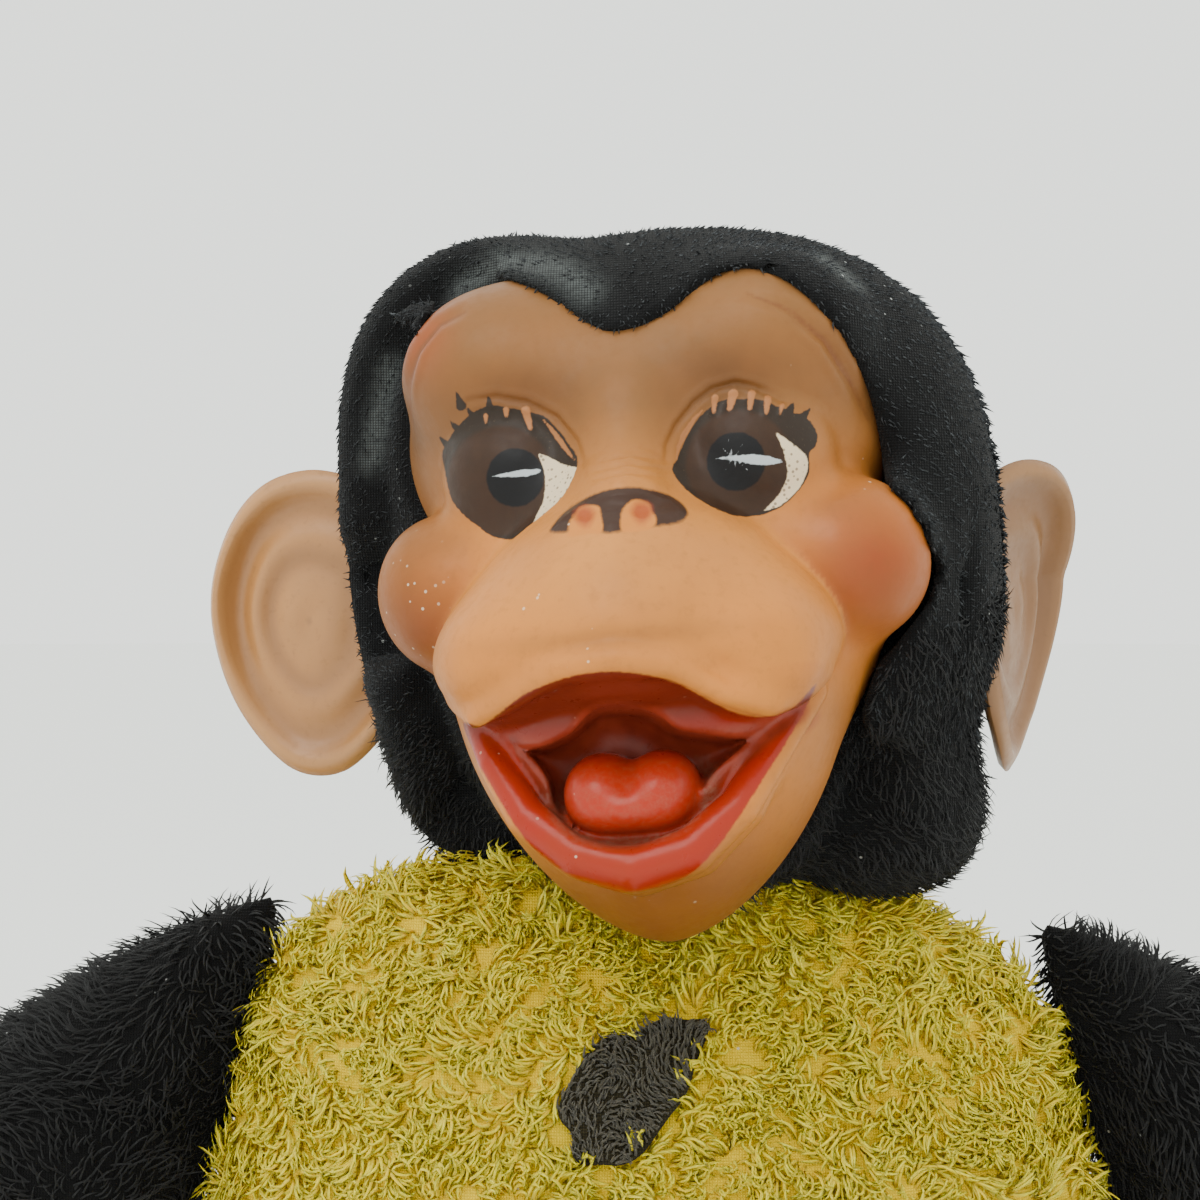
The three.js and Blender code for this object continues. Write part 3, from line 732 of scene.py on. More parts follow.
def face_mask():
    step = 1.0
    points, faces = contour(face_field_open, (-68, -106, -88), (68, -18, 72), step)
    obj = piece("face_mask_vinyl", points, faces, skin, None)
    # Finer faces where the fine paint and moulding are.
    shape = bmesh.new()
    shape.from_mesh(obj.data)
    starts = [(e, e.verts[0].co / MM) for e in shape.edges]
    fine = [e for e, at in starts if abs(at.x) < 48 and 1 < at.z < 44 and at.y < -40]
    bmesh.ops.subdivide_edges(shape, edges=fine, cuts=1, use_grid_fill=True)
    shape.to_mesh(obj.data)
    shape.free()
    points = np.zeros(len(obj.data.vertices) * 3, np.float32)
    obj.data.vertices.foreach_get("co", points)
    points = settled(face_field_open, points.reshape(-1, 3) / MM, 0.6)
    paint, tone = painted(points)
    give(obj.data, moved(carved(points), HEAD), paint, tone)
    obj.data.polygons.foreach_set("use_smooth", np.full(len(obj.data.polygons), True))
    obj.data.update()
    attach(obj, "head")
    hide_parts("face_mask", "head_stuffing")


# ---------------------------------------------------------------- cloth forms and pile


def capped(rings, first, last):
    """Rings of points joined into a closed form, with a point that closes each end."""
    rows, around = rings.shape[:2]
    points = np.vstack([rings.reshape(-1, 3), first, last])
    i, j = np.meshgrid(np.arange(rows - 1), np.arange(around), indexing="ij")
    k = (j + 1) % around
    near, far = i * around, (i + 1) * around
    quads = np.stack([near + j, near + k, far + k, far + j], -1).reshape(-1, 4)
    j, k = j[0], k[0]
    top = (rows - 1) * around
    caps = np.concatenate([
        np.stack([k, j, np.full(around, rows * around)], -1),
        np.stack([top + j, top + k, np.full(around, rows * around + 1)], -1),
    ])
    return points, [quads, caps]


def stuffed(length, wide, deep, shape, place, rings=60, around=60, soft_ends=(0.03, 0.02), grow=0.0):
    """A stuffed form like the CAD's: an oval of half sizes wide and deep at each share of its length."""
    t = np.linspace(0, 1, rings)
    low = np.clip(t / soft_ends[0], 0, 1)
    high = np.clip((1 - t) / soft_ends[1], 0, 1)
    rounded = np.sqrt(1 - (1 - low) ** 2) * np.sqrt(1 - (1 - high) ** 2) * 0.985 + 0.015
    angle = np.linspace(0, 2 * np.pi, around, endpoint=False)
    n = shape(t)[:, None]
    c, s = np.cos(angle)[None], np.sin(angle)[None]
    u = np.sign(c) * np.abs(c) ** (2 / n) * ((wide(t) + grow) * rounded)[:, None]
    v = np.sign(s) * np.abs(s) ** (2 / n) * ((deep(t) + grow) * rounded)[:, None]
    w = np.repeat((t * length)[:, None], around, 1)
    share = np.repeat(t[:, None], around, 1)
    grid = np.stack(place(u, v, w, share), -1)
    return outward(*capped(grid, grid[0].mean(0), grid[-1].mean(0)))


def closed_disc(front, back):
    """A thin round sheet from rings of points for its front and its back, joined at the rim."""
    points, (quads, caps) = capped(np.concatenate([front[1:], back[::-1][:-1]]), front[0, :1], back[0, :1])
    return outward(points, [quads[:, [0, 3, 2, 1]], caps[:, [1, 0, 2]]])


def outward(points, faces):
    """The faces, turned to face out."""
    triangles = as_triangles(faces)
    a, b, c = (points[triangles[:, k]] for k in range(3))
    if (np.cross(a, b) * c).sum() < 0:
        faces = [f[:, ::-1] for f in faces]
    return points, faces


def as_triangles(faces):
    rows = []
    for group in faces:
        rows.append(group[:, :3])
        if group.shape[1] == 4:
            rows.append(group[:, [0, 2, 3]])
    return np.concatenate(rows)


def scatter(points, faces, spacing, seed, keep=None):
    """Evenly spread places on a surface, with their normals."""
    rng = np.random.default_rng(seed)
    triangles = as_triangles(faces)
    a, b, c = (points[triangles[:, k]] for k in range(3))
    cross = np.cross(b - a, c - a)
    area = np.linalg.norm(cross, axis=1) / 2
    normal = np.zeros_like(points)
    for k in range(3):
        np.add.at(normal, triangles[:, k], cross)
    normal /= np.maximum(np.linalg.norm(normal, axis=1, keepdims=True), 1e-9)
    count = int(area.sum() / spacing**2 * 3)
    pick = rng.choice(len(triangles), count, p=area / area.sum())
    s, t = rng.random(count), rng.random(count)
    s, t = np.where(s + t > 1, 1 - s, s), np.where(s + t > 1, 1 - t, t)
    share = np.stack([1 - s - t, s, t], -1)[..., None]
    place = (points[triangles[pick]] * share).sum(1)
    up = (normal[triangles[pick]] * share).sum(1)
    up /= np.maximum(np.linalg.norm(up, axis=1, keepdims=True), 1e-9)
    _, first = np.unique(np.floor(place / spacing).astype(int), axis=0, return_index=True)
    first.sort()
    place, up = place[first], up[first]
    if keep is not None:
        wanted = keep(place)
        place, up = place[wanted], up[wanted]
    return place, up


def strands(root, up, comb, length, width, lean, bend, curl, rings, sink, tip, flat, sides=3):
    """Closed tapered threads. Each starts lean radians off the normal and bends over by bend, and turns
    by curl about the normal as it goes. flat is its thickness as a share of its width."""
    count = len(root)
    comb = comb - up * (comb * up).sum(-1, keepdims=True)
    comb /= np.maximum(np.linalg.norm(comb, axis=1, keepdims=True), 1e-6)
    side = np.cross(up, comb)
    width = np.full(count, float(width))
    at = root - up * sink
    step = (length / rings)[:, None]
    corner = np.linspace(0, 2 * np.pi, sides, endpoint=False)[None, :, None]
    rows = []
    for k in range(rings + 1):
        share = k / rings
        angle, twist = (lean + bend * share)[:, None], (curl * share)[:, None]
        outward_way = np.cos(twist) * comb + np.sin(twist) * side
        heading = np.cos(angle) * up + np.sin(angle) * outward_way
        across = np.cross(up, outward_way)
        over = np.cross(heading, across)
        if k < rings:
            size = (width / 2 * (0.55 + 0.45 * min(share * 3, 1)) * (1 - (1 - tip) * share**2))[:, None, None]
            rim = np.cos(corner) * across[:, None] + flat * np.sin(corner) * over[:, None]
            rows.append(at[:, None] + size * rim)
        else:
            rows.append(at[:, None])
        at = at + step * heading
    points = np.concatenate(rows, 1)
    per = points.shape[1]
    base = (np.arange(count) * per)[:, None]
    ring = [(k * sides + j, k * sides + (j + 1) % sides) for k in range(rings - 1) for j in range(sides)]
    quads = np.array([[a, b, b + sides, a + sides] for a, b in ring])
    last = (rings - 1) * sides
    tips = np.array([[last + j, last + (j + 1) % sides, rings * sides] for j in range(sides)])
    floor = np.array([[0, j + 1, j] for j in range(1, sides - 1)])
    faces = [(base[:, None] + quads[None]).reshape(-1, 4),
             (base[:, None] + np.concatenate([tips, floor])[None]).reshape(-1, 3)]
    up_share = np.concatenate([np.full(sides, k / rings) for k in range(rings)] + [[1.0]])
    turned = np.concatenate([np.tile(np.abs(np.arange(sides) - sides / 2) / sides * 2, rings), [0.5]])
    return points.reshape(-1, 3), faces, np.tile(up_share, count), np.tile(turned, count)


def wandering(place, seed, size):
    """A smooth direction that wanders over the surface, for the swirl of a pile."""
    rng = np.random.default_rng(seed)
    total = np.zeros_like(place)
    for _ in range(7):
        wave = rng.normal(size=(3, 3)) / size
        total += np.sin(place @ wave + rng.random(3) * 6.3)
    return total


def pile(name, body, surface, spacing, material, seed, length, width, lean, bend, comb, spread,
         rings=3, keep=None, group=1, fan=0.35, curl=0.3, sink=1.0, tip=0.12, flat=1.0, place=None):
    """A layer of threads over a surface, as one piece. comb gives the way they lie, and group is how many
    grow from one spot."""
    root, up = scatter(*surface, spacing, seed, keep)
    rng = np.random.default_rng(seed + 1)
    way = comb(root) + rng.normal(size=root.shape) * spread
    many = len(root)
    grow = rng.uniform(0.7, 1.2, many)
    leans = rng.normal(lean, 0.15, many)
    bends = bend * rng.uniform(0.7, 1.2, many)
    curls = curl * (np.sin(wandering(root, 8, 14).sum(-1)) + rng.normal(0, 0.5, many))
    root, up, way = (np.repeat(a, group, 0) for a in (root, up, way))
    grow, leans, bends, curls = (np.repeat(a, group) for a in (grow, leans, bends, curls))
    if group > 1:
        root = root + rng.normal(size=root.shape) * fan * 1.6
        way = way + rng.normal(size=way.shape) * fan * 0.5
        leans = leans + rng.normal(size=len(leans)) * fan * 0.5
        curls = curls + rng.normal(size=len(leans)) * fan
    points, faces, share, turned = strands(
        root, up, way, length * grow, width, leans, bends, curls, rings, sink, tip, flat)
    per = len(points) // max(len(root), 1)
    chance = np.repeat(rng.random(len(root)), per)
    lock = np.repeat(rng.random(many), per * group)
    obj = piece(name, points, faces, material, body, place,
                {"tip": share, "chance": chance, "lock": lock, "around": turned})
    return obj


# ---------------------------------------------------------------- cloth materials


def pile_material(name, dark, light, pale_sheen, rough, sheen, sheen_colour=(1, 1, 1), fibres=12.0, shine=0.35,
                  through=0.0):
    """Threads darker at the root, a painted shade deep in the pile, lighter at the tip, and streaked along their
    length with a painted sheen.
    """
    n = Nodes(name)
    along = n.add("ShaderNodeCombineXYZ")
    for socket, (key, scale) in zip(along.inputs, (("around", fibres), ("tip", 2.2), ("chance", 90.0))):
        n.put(socket, n.times(n.attribute(key), scale))
    fibre = n.noise(1.0, 3, 0.65, where=along.outputs[0])
    colour = n.mix(n.fit(n.attribute("tip"), 0.05, 0.6), dark, light)
    # The palest colour streaks the fibres as painted sheen, and also lies on some whole strands and in patches.
    for share, over in ((n.fit(fibre, 0.5, 0.62, 0, 0.75), pale_sheen), (n.fit(fibre, 0.48, 0.36, 0, 0.6), dark),
                        (n.fit(n.attribute("chance"), 0.6, 1.0, 0, 0.3), pale_sheen),
                        (n.fit(n.noise(34, 4, 0.55), 0.56, 0.74, 0, 0.35), pale_sheen),
                        (n.fit(n.attribute("lock"), 0.0, 0.35, 0.3, 0), dark)):
        colour = n.mix(share, colour, over)
    return n.finish(base_color=colour, roughness=n.fit(fibre, 0.3, 0.7, rough - 0.1, rough + 0.15),
                    normal=n.bump(fibre, 1.0, 0.0008), specular_ior_level=shine, sheen_weight=sheen,
                    sheen_roughness=0.4, sheen_tint=sheen_colour, subsurface_weight=through,
                    subsurface_radius=(0.004, 0.0035, 0.001))


def backing_material(name, base, gap_shade, worn=None):
    """The knitted backing under a pile: a fine grid of threads, with painted shade in its gaps and in uneven
    patches.
    """
    weave = 1550 * math.pi
    n = Nodes(name)
    axes = n.add("ShaderNodeSeparateXYZ")
    n.put(axes.inputs[0], n.where)
    threads = [n.maths("ABSOLUTE", n.maths("SINE", n.times(axes.outputs[k], weave))) for k in range(3)]
    knit = n.times(n.times(threads[0], threads[2]), n.maths("ADD", threads[1], 0.6))
    uneven = n.noise(90, 4, 0.6)
    colour = n.mix(n.fit(knit, 0.1, 0.8), gap_shade, base)
    colour = n.mix(n.fit(uneven, 0.35, 0.7, 0, 0.5), colour, gap_shade)
    if worn:
        share = n.times(n.attribute("worn"), n.fit(n.noise(420, 4, 0.7), 0.25, 0.6, 0.35, 1))
        share = n.times(share, n.fit(knit, 0.05, 0.6, 0.15, 1))
        colour = n.mix(share, colour, worn)
    lint = n.times(n.fit(n.cells(230), 0.1, 0.06), n.fit(n.noise(45, 2), 0.56, 0.64))
    colour = n.mix(n.times(lint, 0.7), colour, rgb(205, 208, 205))
    return n.finish(base_color=colour, roughness=0.9, normal=n.bump(n.maths("ADD", knit, uneven), 0.6, 0.0005),
                    specular_ior_level=0.15, sheen_weight=0.03, sheen_roughness=0.5)


def cord_material():
    n = Nodes("twisted_cord")
    wave = n.add("ShaderNodeTexWave", bands_direction="DIAGONAL")
    n.put(wave.inputs["Vector"], n.where)
    wave.inputs["Scale"].default_value = 260
    wave.inputs["Distortion"].default_value = 2
    colour = n.mix(wave.outputs["Fac"], rgb(60, 52, 42), rgb(120, 108, 88))
    return n.finish(base_color=colour, roughness=0.85, normal=n.bump(wave.outputs["Fac"], 0.8, 0.0004))


def plain_vinyl(name, worn_colour, rough=0.42):
    n = Nodes(name)
    colour = n.mix(n.fit(n.noise(36, 4, 0.55), 0.35, 0.7, 0, 0.3), n.attribute("tone", "Color"), worn_colour)
    fine = n.noise(480, 4, 0.65)
    colour = n.mix(n.fit(fine, 0.56, 0.75, 0, 0.25), colour, tuple(c * 0.5 for c in worn_colour))
    normal = n.bump(fine, 0.12, 0.0003, n.bump(n.noise(90, 3, 0.5), 0.3, 0.0014))
    return n.finish(base_color=colour, roughness=n.fit(fine, 0.3, 0.7, rough - 0.06, rough + 0.1),
                    normal=normal, subsurface_weight=0.05, subsurface_radius=(0.004, 0.002, 0.001), coat_weight=0.1,
                    coat_roughness=0.3)


# ---------------------------------------------------------------- the hood

# Where the nap is worn away, as paths in x and z with their widths.
WORN_PATHS = [
    ([(-42, 70), (-32, 73), (-22, 71), (-13, 66), (-7, 60)], 4.0),
    ([(44, 66), (52, 57)], 2.0),
    ([(-62, 52), (-69, 30)], 3.0),
]


def hood_field(p):
    q = np.abs((p - np.float32([-1, 6, 4])) / np.float32([81, 58, 76]))
    side = (q[:, 0] ** 2.5 + q[:, 2] ** 2.5) ** 0.4
    made = ((side**2.8 + q[:, 1] ** 2.8) ** (1 / 2.8) - 1) * 62
    made = union(made, squarish(p, (-4, 6, -44), (71, 56, 38), 2.4), 8)
    made = union(made, ellipsoid(p, (-41, 8, 46), (35.5, 50, 37.5)), 14)
    made = cut(union(made, ellipsoid(p, (45, 12, -64), (25, 32, 24)), 8), p[:, 2] + 86, 3)
    form = face_form(p)
    made = union(made, form - 2.0, 5)
    # Round the face the hood lies close on the mask, and rises away from its edge.
    near = (p[:, 1] < -4) & (np.abs(p[:, 0]) < 90)
    q = p[near]
    gap = region(*as_seen(q, EDGE_LEVEL), face_edge)
    rise = 2.4 + 1.1 * np.maximum(gap, 0) + 0.8 * np.maximum(q[:, 1] + 26, 0)
    made[near] = cut(made[near], rise - form[near], 4)
    # On the right the opening runs back along the side of the cheek.
    behind = q[:, 0] + 50 - 12 * np.clip((-5 - q[:, 2]) / 12, 0, 1)
    beside = np.maximum(behind, np.maximum(q[:, 2] - 60, -70 - q[:, 2]))
    made[near] = cut(made[near], np.maximum(np.minimum(gap, beside), q[:, 1] + 25), 1.6)
    return made


def worn_share(p):
    """How much of the nap is worn away, from 0 to 1."""
    share = np.zeros(len(p))
    for path, width in WORN_PATHS:
        gap, _ = line_gap(p[:, 0], p[:, 2], path)
        share = np.maximum(share, np.where(p[:, 1] < 10, pulse(gap, width), 0))
    return share


def hood():
    points, faces = contour(hood_field, (-90, -64, -92), (88, 76, 94), 2.2)
    obj = piece("hood_backing", points, faces, hood_backing, "head", HEAD, {"worn": worn_share(points)})
    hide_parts("hood_right_panel", "hood_left_panel", "hood_crown_strip", "hood_neck_panel")
    down = np.array([0, 0.25, -1.0])

    def nap(p):
        return down + np.sign(p[:, :1]) * np.array([0.5, 0, 0]) + wandering(p, 5, 22) * 0.25

    def is_open(p):
        rng = np.random.default_rng(8)
        return (p[:, 2] > -50) & (rng.random(len(p)) > 0.8 * worn_share(p)) & (hood_inside(p) > 0.8)

    def is_low(p):
        return p[:, 2] < -34 + 0.35 * np.clip(p[:, 0], 0, 80) - 9 * (np.sin(p[:, 0] / 9) > 0)

    pile("hood_front_nap", "head", (points, faces), 1.32, nap_pile, 11, 2.9, 0.66, 0.95, 0.6,
         nap, 0.4, rings=2, keep=lambda p: is_open(p) & (p[:, 1] < 2), place=HEAD, curl=0.5)
    pile("hood_back_nap", "head", (points, faces), 1.7, nap_pile, 13, 4.4, 0.9, 0.9, 0.6, nap,
         0.4, rings=2, keep=lambda p: is_open(p) & (p[:, 1] >= 2), place=HEAD, curl=0.5)
    pile("neck_pile", "head", (points, faces), 1.75, black_pile, 12, 5.6, 0.75, 0.85, 0.8, nap,
         0.4, rings=3, keep=lambda p: is_low(p) & (hood_inside(p) > 1), place=HEAD, curl=1.2, flat=0.6)


def neck():
    """The cloth-covered neck, with its ball inside the head."""
    def field(p):
        ball = ellipsoid(p, (0, 2, 188), (24.4, 24.4, 24.4))
        return union(ball, tube(p, [(0, 2, 156), (0, 2, 186)], [19.5, 19.5]), 3)

    obj = piece("neck_cloth", *contour(field, (-28, -26, 132), (28, 30, 216), 2.5), black_backing, "neck")
    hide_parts("neck_stem")


def hood_inside(p):
    """How far a place is outside the opening of the face."""
    return np.where(p[:, 1] < -26, region(*as_seen(p, EDGE_LEVEL), face_edge), 9)


# ---------------------------------------------------------------- ears

EAR_EDGE = [(-3, 24), (8, 31), (21, 34.5), (34, 31.5), (44, 21), (50, 4), (49, -14), (43, -30), (32, -43),
            (19, -45), (7, -37), (-3, -25), (-7, 0)]


def ear(name, place, size, sweep, fur, shade):
    """A cupped ear with a rolled rim. sweep is its angle back from the side of the head at heights z, and
    fur gives it a tuft at its root."""
    around, rings = 120, 26
    edge = outline(EAR_EDGE, 10)
    edge = edge[np.linspace(0, len(edge) - 1, around).astype(int)] * size
    centre = np.array([24, -5]) * size
    r = np.linspace(0, 1, rings)
    dish = (3.6 * pulse(r - 0.92, 0.09) - 2.0 * pulse(r - 0.74, 0.14) + 0.9 * pulse(r - 0.55, 0.1)
            - 0.9 * pulse(r - 0.4, 0.1) + 0.5 * pulse(r - 0.16, 0.12)) * (1 - r**14)
    angle = np.arctan2(edge[:, 1] - centre[1], edge[:, 0] - centre[0])
    lumpy = 1 + 0.4 * np.sin(angle * 2 + 0.6)[None]
    plane = centre + (edge - centre)[None] * r[:, None, None]
    cup = 5.0 * (plane[..., 0] / (50 * size)) ** 2
    hollow = (2.6 * np.sqrt(np.clip(1 - r**8, 0, 1)) + 0.2 + 1.5 * (1 - r))[:, None]

    def swept(x, y, z):
        a = np.radians(np.interp(z, *zip(*sweep)))
        return np.stack([x * np.cos(a) - y * np.sin(a), x * np.sin(a) + y * np.cos(a), z], -1)

    x, z = plane[..., 0], plane[..., 1]
    points, faces = closed_disc(swept(x, -dish[:, None] * lumpy - cup, z), swept(x, hollow - cup * 0.9, z))
    share = np.concatenate([np.repeat(r[1:], around), np.repeat(r[::-1][:-1], around), [0, 0]])
    flat_x = np.concatenate([x[1:].ravel(), x[::-1][:-1].ravel(), [0, 0]])
    # shade darkens the whole ear as painted shade. The hollows of the cup and the root by the head get painted
    # shade, and the rolled rim a painted highlight.
    tone = plain_tone(rgb(176, 122, 68), len(points)) * shade
    tone = tinted(tone, rgb(118, 76, 40), 0.45 * (pulse(share - 0.76, 0.1) + pulse(share - 0.42, 0.08)))
    tone = tinted(tone, rgb(192, 140, 84), 0.5 * shade * pulse(share - 0.93, 0.05))
    tone = tinted(tone, rgb(124, 86, 54), 0.5 * blob(flat_x, points[:, 2], (0, -6), 9, 30))
    obj = piece(name + "_vinyl", points, faces, ear_vinyl, "head", place, tone=tone)
    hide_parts(name)
    if fur:
        pile(name + "_tuft", "head", (points, faces), 1.5, black_pile, 31, 9, 0.6, 0.6, 0.8,
             lambda p: np.tile([1.0, -0.3, -0.2], (len(p), 1)), 0.8, place=place, curl=0.8,
             keep=lambda p: (p[:, 0] < 3) & (np.abs(p[:, 2] + 24) < 7))


# ---------------------------------------------------------------- torso

TORSO_HEIGHT = 176
torso_wide = profile([104, 114, 118, 116, 112, 106, 101, 90])
torso_deep = profile([50, 59, 62, 61, 56, 49, 39, 18])
torso_shape = profile([2.8, 2.6, 2.4, 2.2, 2.1, 2, 2, 2])
PATCH = dict(x=-6.5, z=135.5, wide=11.5, long=20, tilt=-48)


def torso_surface():
    """The torso, with shoulders that slope up to the neck."""
    def place(u, v, w, share):
        slope = np.clip((share - 0.8) / 0.2, 0, 1) ** 2
        rise = slope * 19 * np.clip(1 - (u / 100) ** 2, 0, 1)
        sag = 11 * np.clip((share - 0.55) / 0.4, 0, 1) * np.clip((u - 40) / 45, 0, 1)
        return u, v + slope * 2, w + rise - sag

    return stuffed(TORSO_HEIGHT - 4, torso_wide, torso_deep, torso_shape, place, rings=70, around=96,
                   soft_ends=(0.035, 0.06), grow=-1.5)


def patch_gap(p):
    """Signed distance to the edge of the chest patch, seen from the front."""
    a = math.radians(PATCH["tilt"])
    x, z = p[:, 0] - PATCH["x"], p[:, 2] - PATCH["z"]
    u, v = x * math.cos(a) + z * math.sin(a), -x * math.sin(a) + z * math.cos(a)
    wave = 1 + 0.1 * np.sin(3 * np.arctan2(v, u) + 1) + 0.05 * np.sin(7 * np.arctan2(v, u))
    taper = 1 - 0.25 * np.clip(v / PATCH["long"], 0, 1)
    near = np.sqrt((u / (PATCH["wide"] * taper)) ** 2 + (v / PATCH["long"]) ** 2) / wave
    return np.where(p[:, 1] < 0, (near - 1) * PATCH["wide"], 50)


def torso():
    surface = torso_surface()
    body = piece("torso_backing", *surface, yellow_backing, "torso")
    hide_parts("torso_front_panel", "torso_back_panel", "seat_panel", "torso_stuffing")

    def swirl(p):
        return wandering(p, 3, 7) + np.array([0, 0, -0.9])

    # Each band of the front lies between two places across it, and the back is one band of coarser locks.
    bands = [("front_left", 52, 200), ("front_inner_left", 0, 52), ("front_inner_right", -52, 0),
             ("front_right", -200, -52), ("back", -200, 200)]
    for i, (where, low, high) in enumerate(bands):
        back = where == "back"
        spacing, width, group = (4.15, 2.2, 2) if back else (2.65, 1.4, 4)

        def kept(p):
            across = ((p[:, 1] >= 0) == back) & (p[:, 0] > low) & (p[:, 0] <= high)
            return across & (p[:, 2] > 9) & (patch_gap(p) > -0.5)

        pile(f"torso_{where}_locks", "torso", surface, spacing, yellow_pile, 41 + i, 8.5, width,
             0.95, 0.75, swirl, 0.3, rings=4, keep=kept, group=group, fan=0.45, curl=3.4, tip=0.3, flat=0.35,
             sink=0.5)
    chest_patch()


def chest_patch():
    """The patch's own cloth, a thin oval that follows the torso's front, and its short pile."""
    rings, around = 12, 64
    r, angle = np.linspace(0, 1, rings), np.linspace(0, 2 * np.pi, around, endpoint=False)
    a = math.radians(PATCH["tilt"])
    wave = 1 + 0.08 * np.sin(3 * angle + 1) + 0.05 * np.sin(7 * angle)
    v = np.cos(angle) * PATCH["long"] * wave
    u = np.sin(angle) * PATCH["wide"] * (1 - 0.25 * np.clip(v / PATCH["long"], 0, 1)) * wave
    x = PATCH["x"] + (u * math.cos(a) - v * math.sin(a)) * r[:, None]
    z = PATCH["z"] + (u * math.sin(a) + v * math.cos(a)) * r[:, None]
    share = z / (TORSO_HEIGHT - 4)
    wide, deep, n = torso_wide(share), torso_deep(share), torso_shape(share)
    y = -deep * (1 - np.abs(x / wide) ** n) ** (1 / n)
    points, faces = closed_disc(np.stack([x, y - 1.6, z], -1), np.stack([x, y + 1.4, z], -1))
    cloth = piece("chest_patch_cloth", points, faces, patch_backing, "torso")
    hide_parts("chest_patch")
    front = as_triangles(faces)
    middle = points[front].mean(1)
    cross = np.cross(points[front[:, 1]] - points[front[:, 0]], points[front[:, 2]] - points[front[:, 0]])
    front = front[(cross[:, 1] < 0) & (middle[:, 1] < -30)]
    pile("chest_patch_pile", "torso", (points, [front]), 1.05, patch_pile, 51,
         4.6, 0.9, 0.5, 0.9, lambda p: wandering(p, 9, 7), 0.4, rings=3, curl=1.5, flat=0.4)


# ---------------------------------------------------------------- arms and hands

ARM = dict(length=128, droop=30, low=90, high=170, clear=7)
arm_wide = profile([34, 39, 40, 39, 36, 32, 24, 19])
arm_deep = profile([3.5, 20, 27, 29, 28, 26, 23, 19])


def torso_edge(z):
    return float(torso_wide(np.array([z / TORSO_HEIGHT]))[0])


def arm_frame(side):
    middle = (ARM["low"] + ARM["high"]) / 2
    return shift(side * (torso_edge(middle) + ARM["clear"]), 0, middle) @ turn("Y", side * ARM["droop"])


def arm(side):
    name = "left" if side > 0 else "right"
    lean = math.atan2(torso_edge(ARM["low"]) - torso_edge(ARM["high"]), ARM["high"] - ARM["low"])
    slant = -math.tan(lean + math.radians(ARM["droop"]))
    reach = 11

    def place(u, v, w, share):
        u = u * np.where(u > 0, 1 - (0.3 if side > 0 else 0.14) * (1 - share) ** 1.5, 1)
        return side * (w - reach + slant * u * (1 - share) ** 1.6), v, u

    surface = stuffed(ARM["length"] + reach, arm_wide, lambda t: arm_deep(t) + 2 * (1 - t), profile([2, 2]),
                      place, around=56, grow=-0.5)
    frame_now = arm_frame(side)
    sleeve = piece(f"{name}_sleeve_backing", *surface, black_backing, f"{name}_arm", frame_now)
    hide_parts(f"{name}_sleeve_front", f"{name}_sleeve_back", f"{name}_arm_stuffing")
    pile(f"{name}_arm_pile", f"{name}_arm", surface, 1.9, black_pile, 60 + side, 8, 0.85, 0.85,
         0.7, lambda p: np.array([side * 1.0, 0, -0.35]) + wandering(p, 6, 14) * 0.45, 0.3, rings=4, place=frame_now,
         keep=lambda p: side * p[:, 0] < ARM["length"] - 3, curl=1.0, flat=0.5)
    hand(name, side, frame_now)


def hand(name, side, frame_now):
    end = ARM["length"]

    def field(p):
        q = p * np.float32([side, 1, 1])
        made = ellipsoid(q, (end + 24, 0, 0), (21, 10.5, 19.5))
        made = union(made, tube(q, [(end - 12, 0, 0), (end + 12, 0, 0)], [13, 13.5]), 5)
        for z in (-12, -4, 4, 12):
            tip = (end + 55 - abs(z) * 0.35, -9, z * 1.12)
            finger = [(end + 34, -1, z * 0.95), (end + 48, -4, z * 1.08), tip]
            made = union(made, tube(q, finger, [5.6, 5.2, 4.8]), 1.6)
        thumb = [(end + 18, -3, 13), (end + 27, -7, 22), (end + 33, -10, 27)]
        made = union(made, tube(q, thumb, [6.5, 6, 5.4]), 4)
        for z in (-12, -4, 4, 12):
            made = cut(made, ellipsoid(q, (end + 56.5 - abs(z) * 0.35, -4.6, z * 1.12), (3.6, 1.0, 3.0)), 0.6)
        return made

    low = np.array([end - 14, -18, -24]) if side > 0 else np.array([-end - 64, -18, -24])
    high = low + np.array([78, 32, 60])
    points, faces = contour(field, low, high, 0.9)
    reach = side * points[:, 0] - end
    tone = plain_tone(rgb(212, 158, 112), len(points))
    tone = tinted(tone, rgb(196, 112, 72), 0.5 * np.clip((reach - 44) / 14, 0, 1))
    tone = tinted(tone, rgb(150, 104, 68), 0.5 * blob(points[:, 1], points[:, 2], (-11, 0), 5, 12))
    obj = piece(f"{name}_hand_vinyl", points, faces, hand_vinyl, f"{name}_hand", frame_now, tone=tone)
    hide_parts(f"{name}_hand")


# ---------------------------------------------------------------- legs and shoes

LEG = dict(length=150, splay=15, seat=12, out=56, front=-62)
leg_top = profile([4, 28, 44, 53, 56, 56, 53, 49, 43])
leg_under = profile([4, 9, 11.6, 11.8, 11.8, 11.8, 11.8, 11, 5])
leg_wide = profile([40, 41, 41, 40, 38, 36, 33, 29, 21])


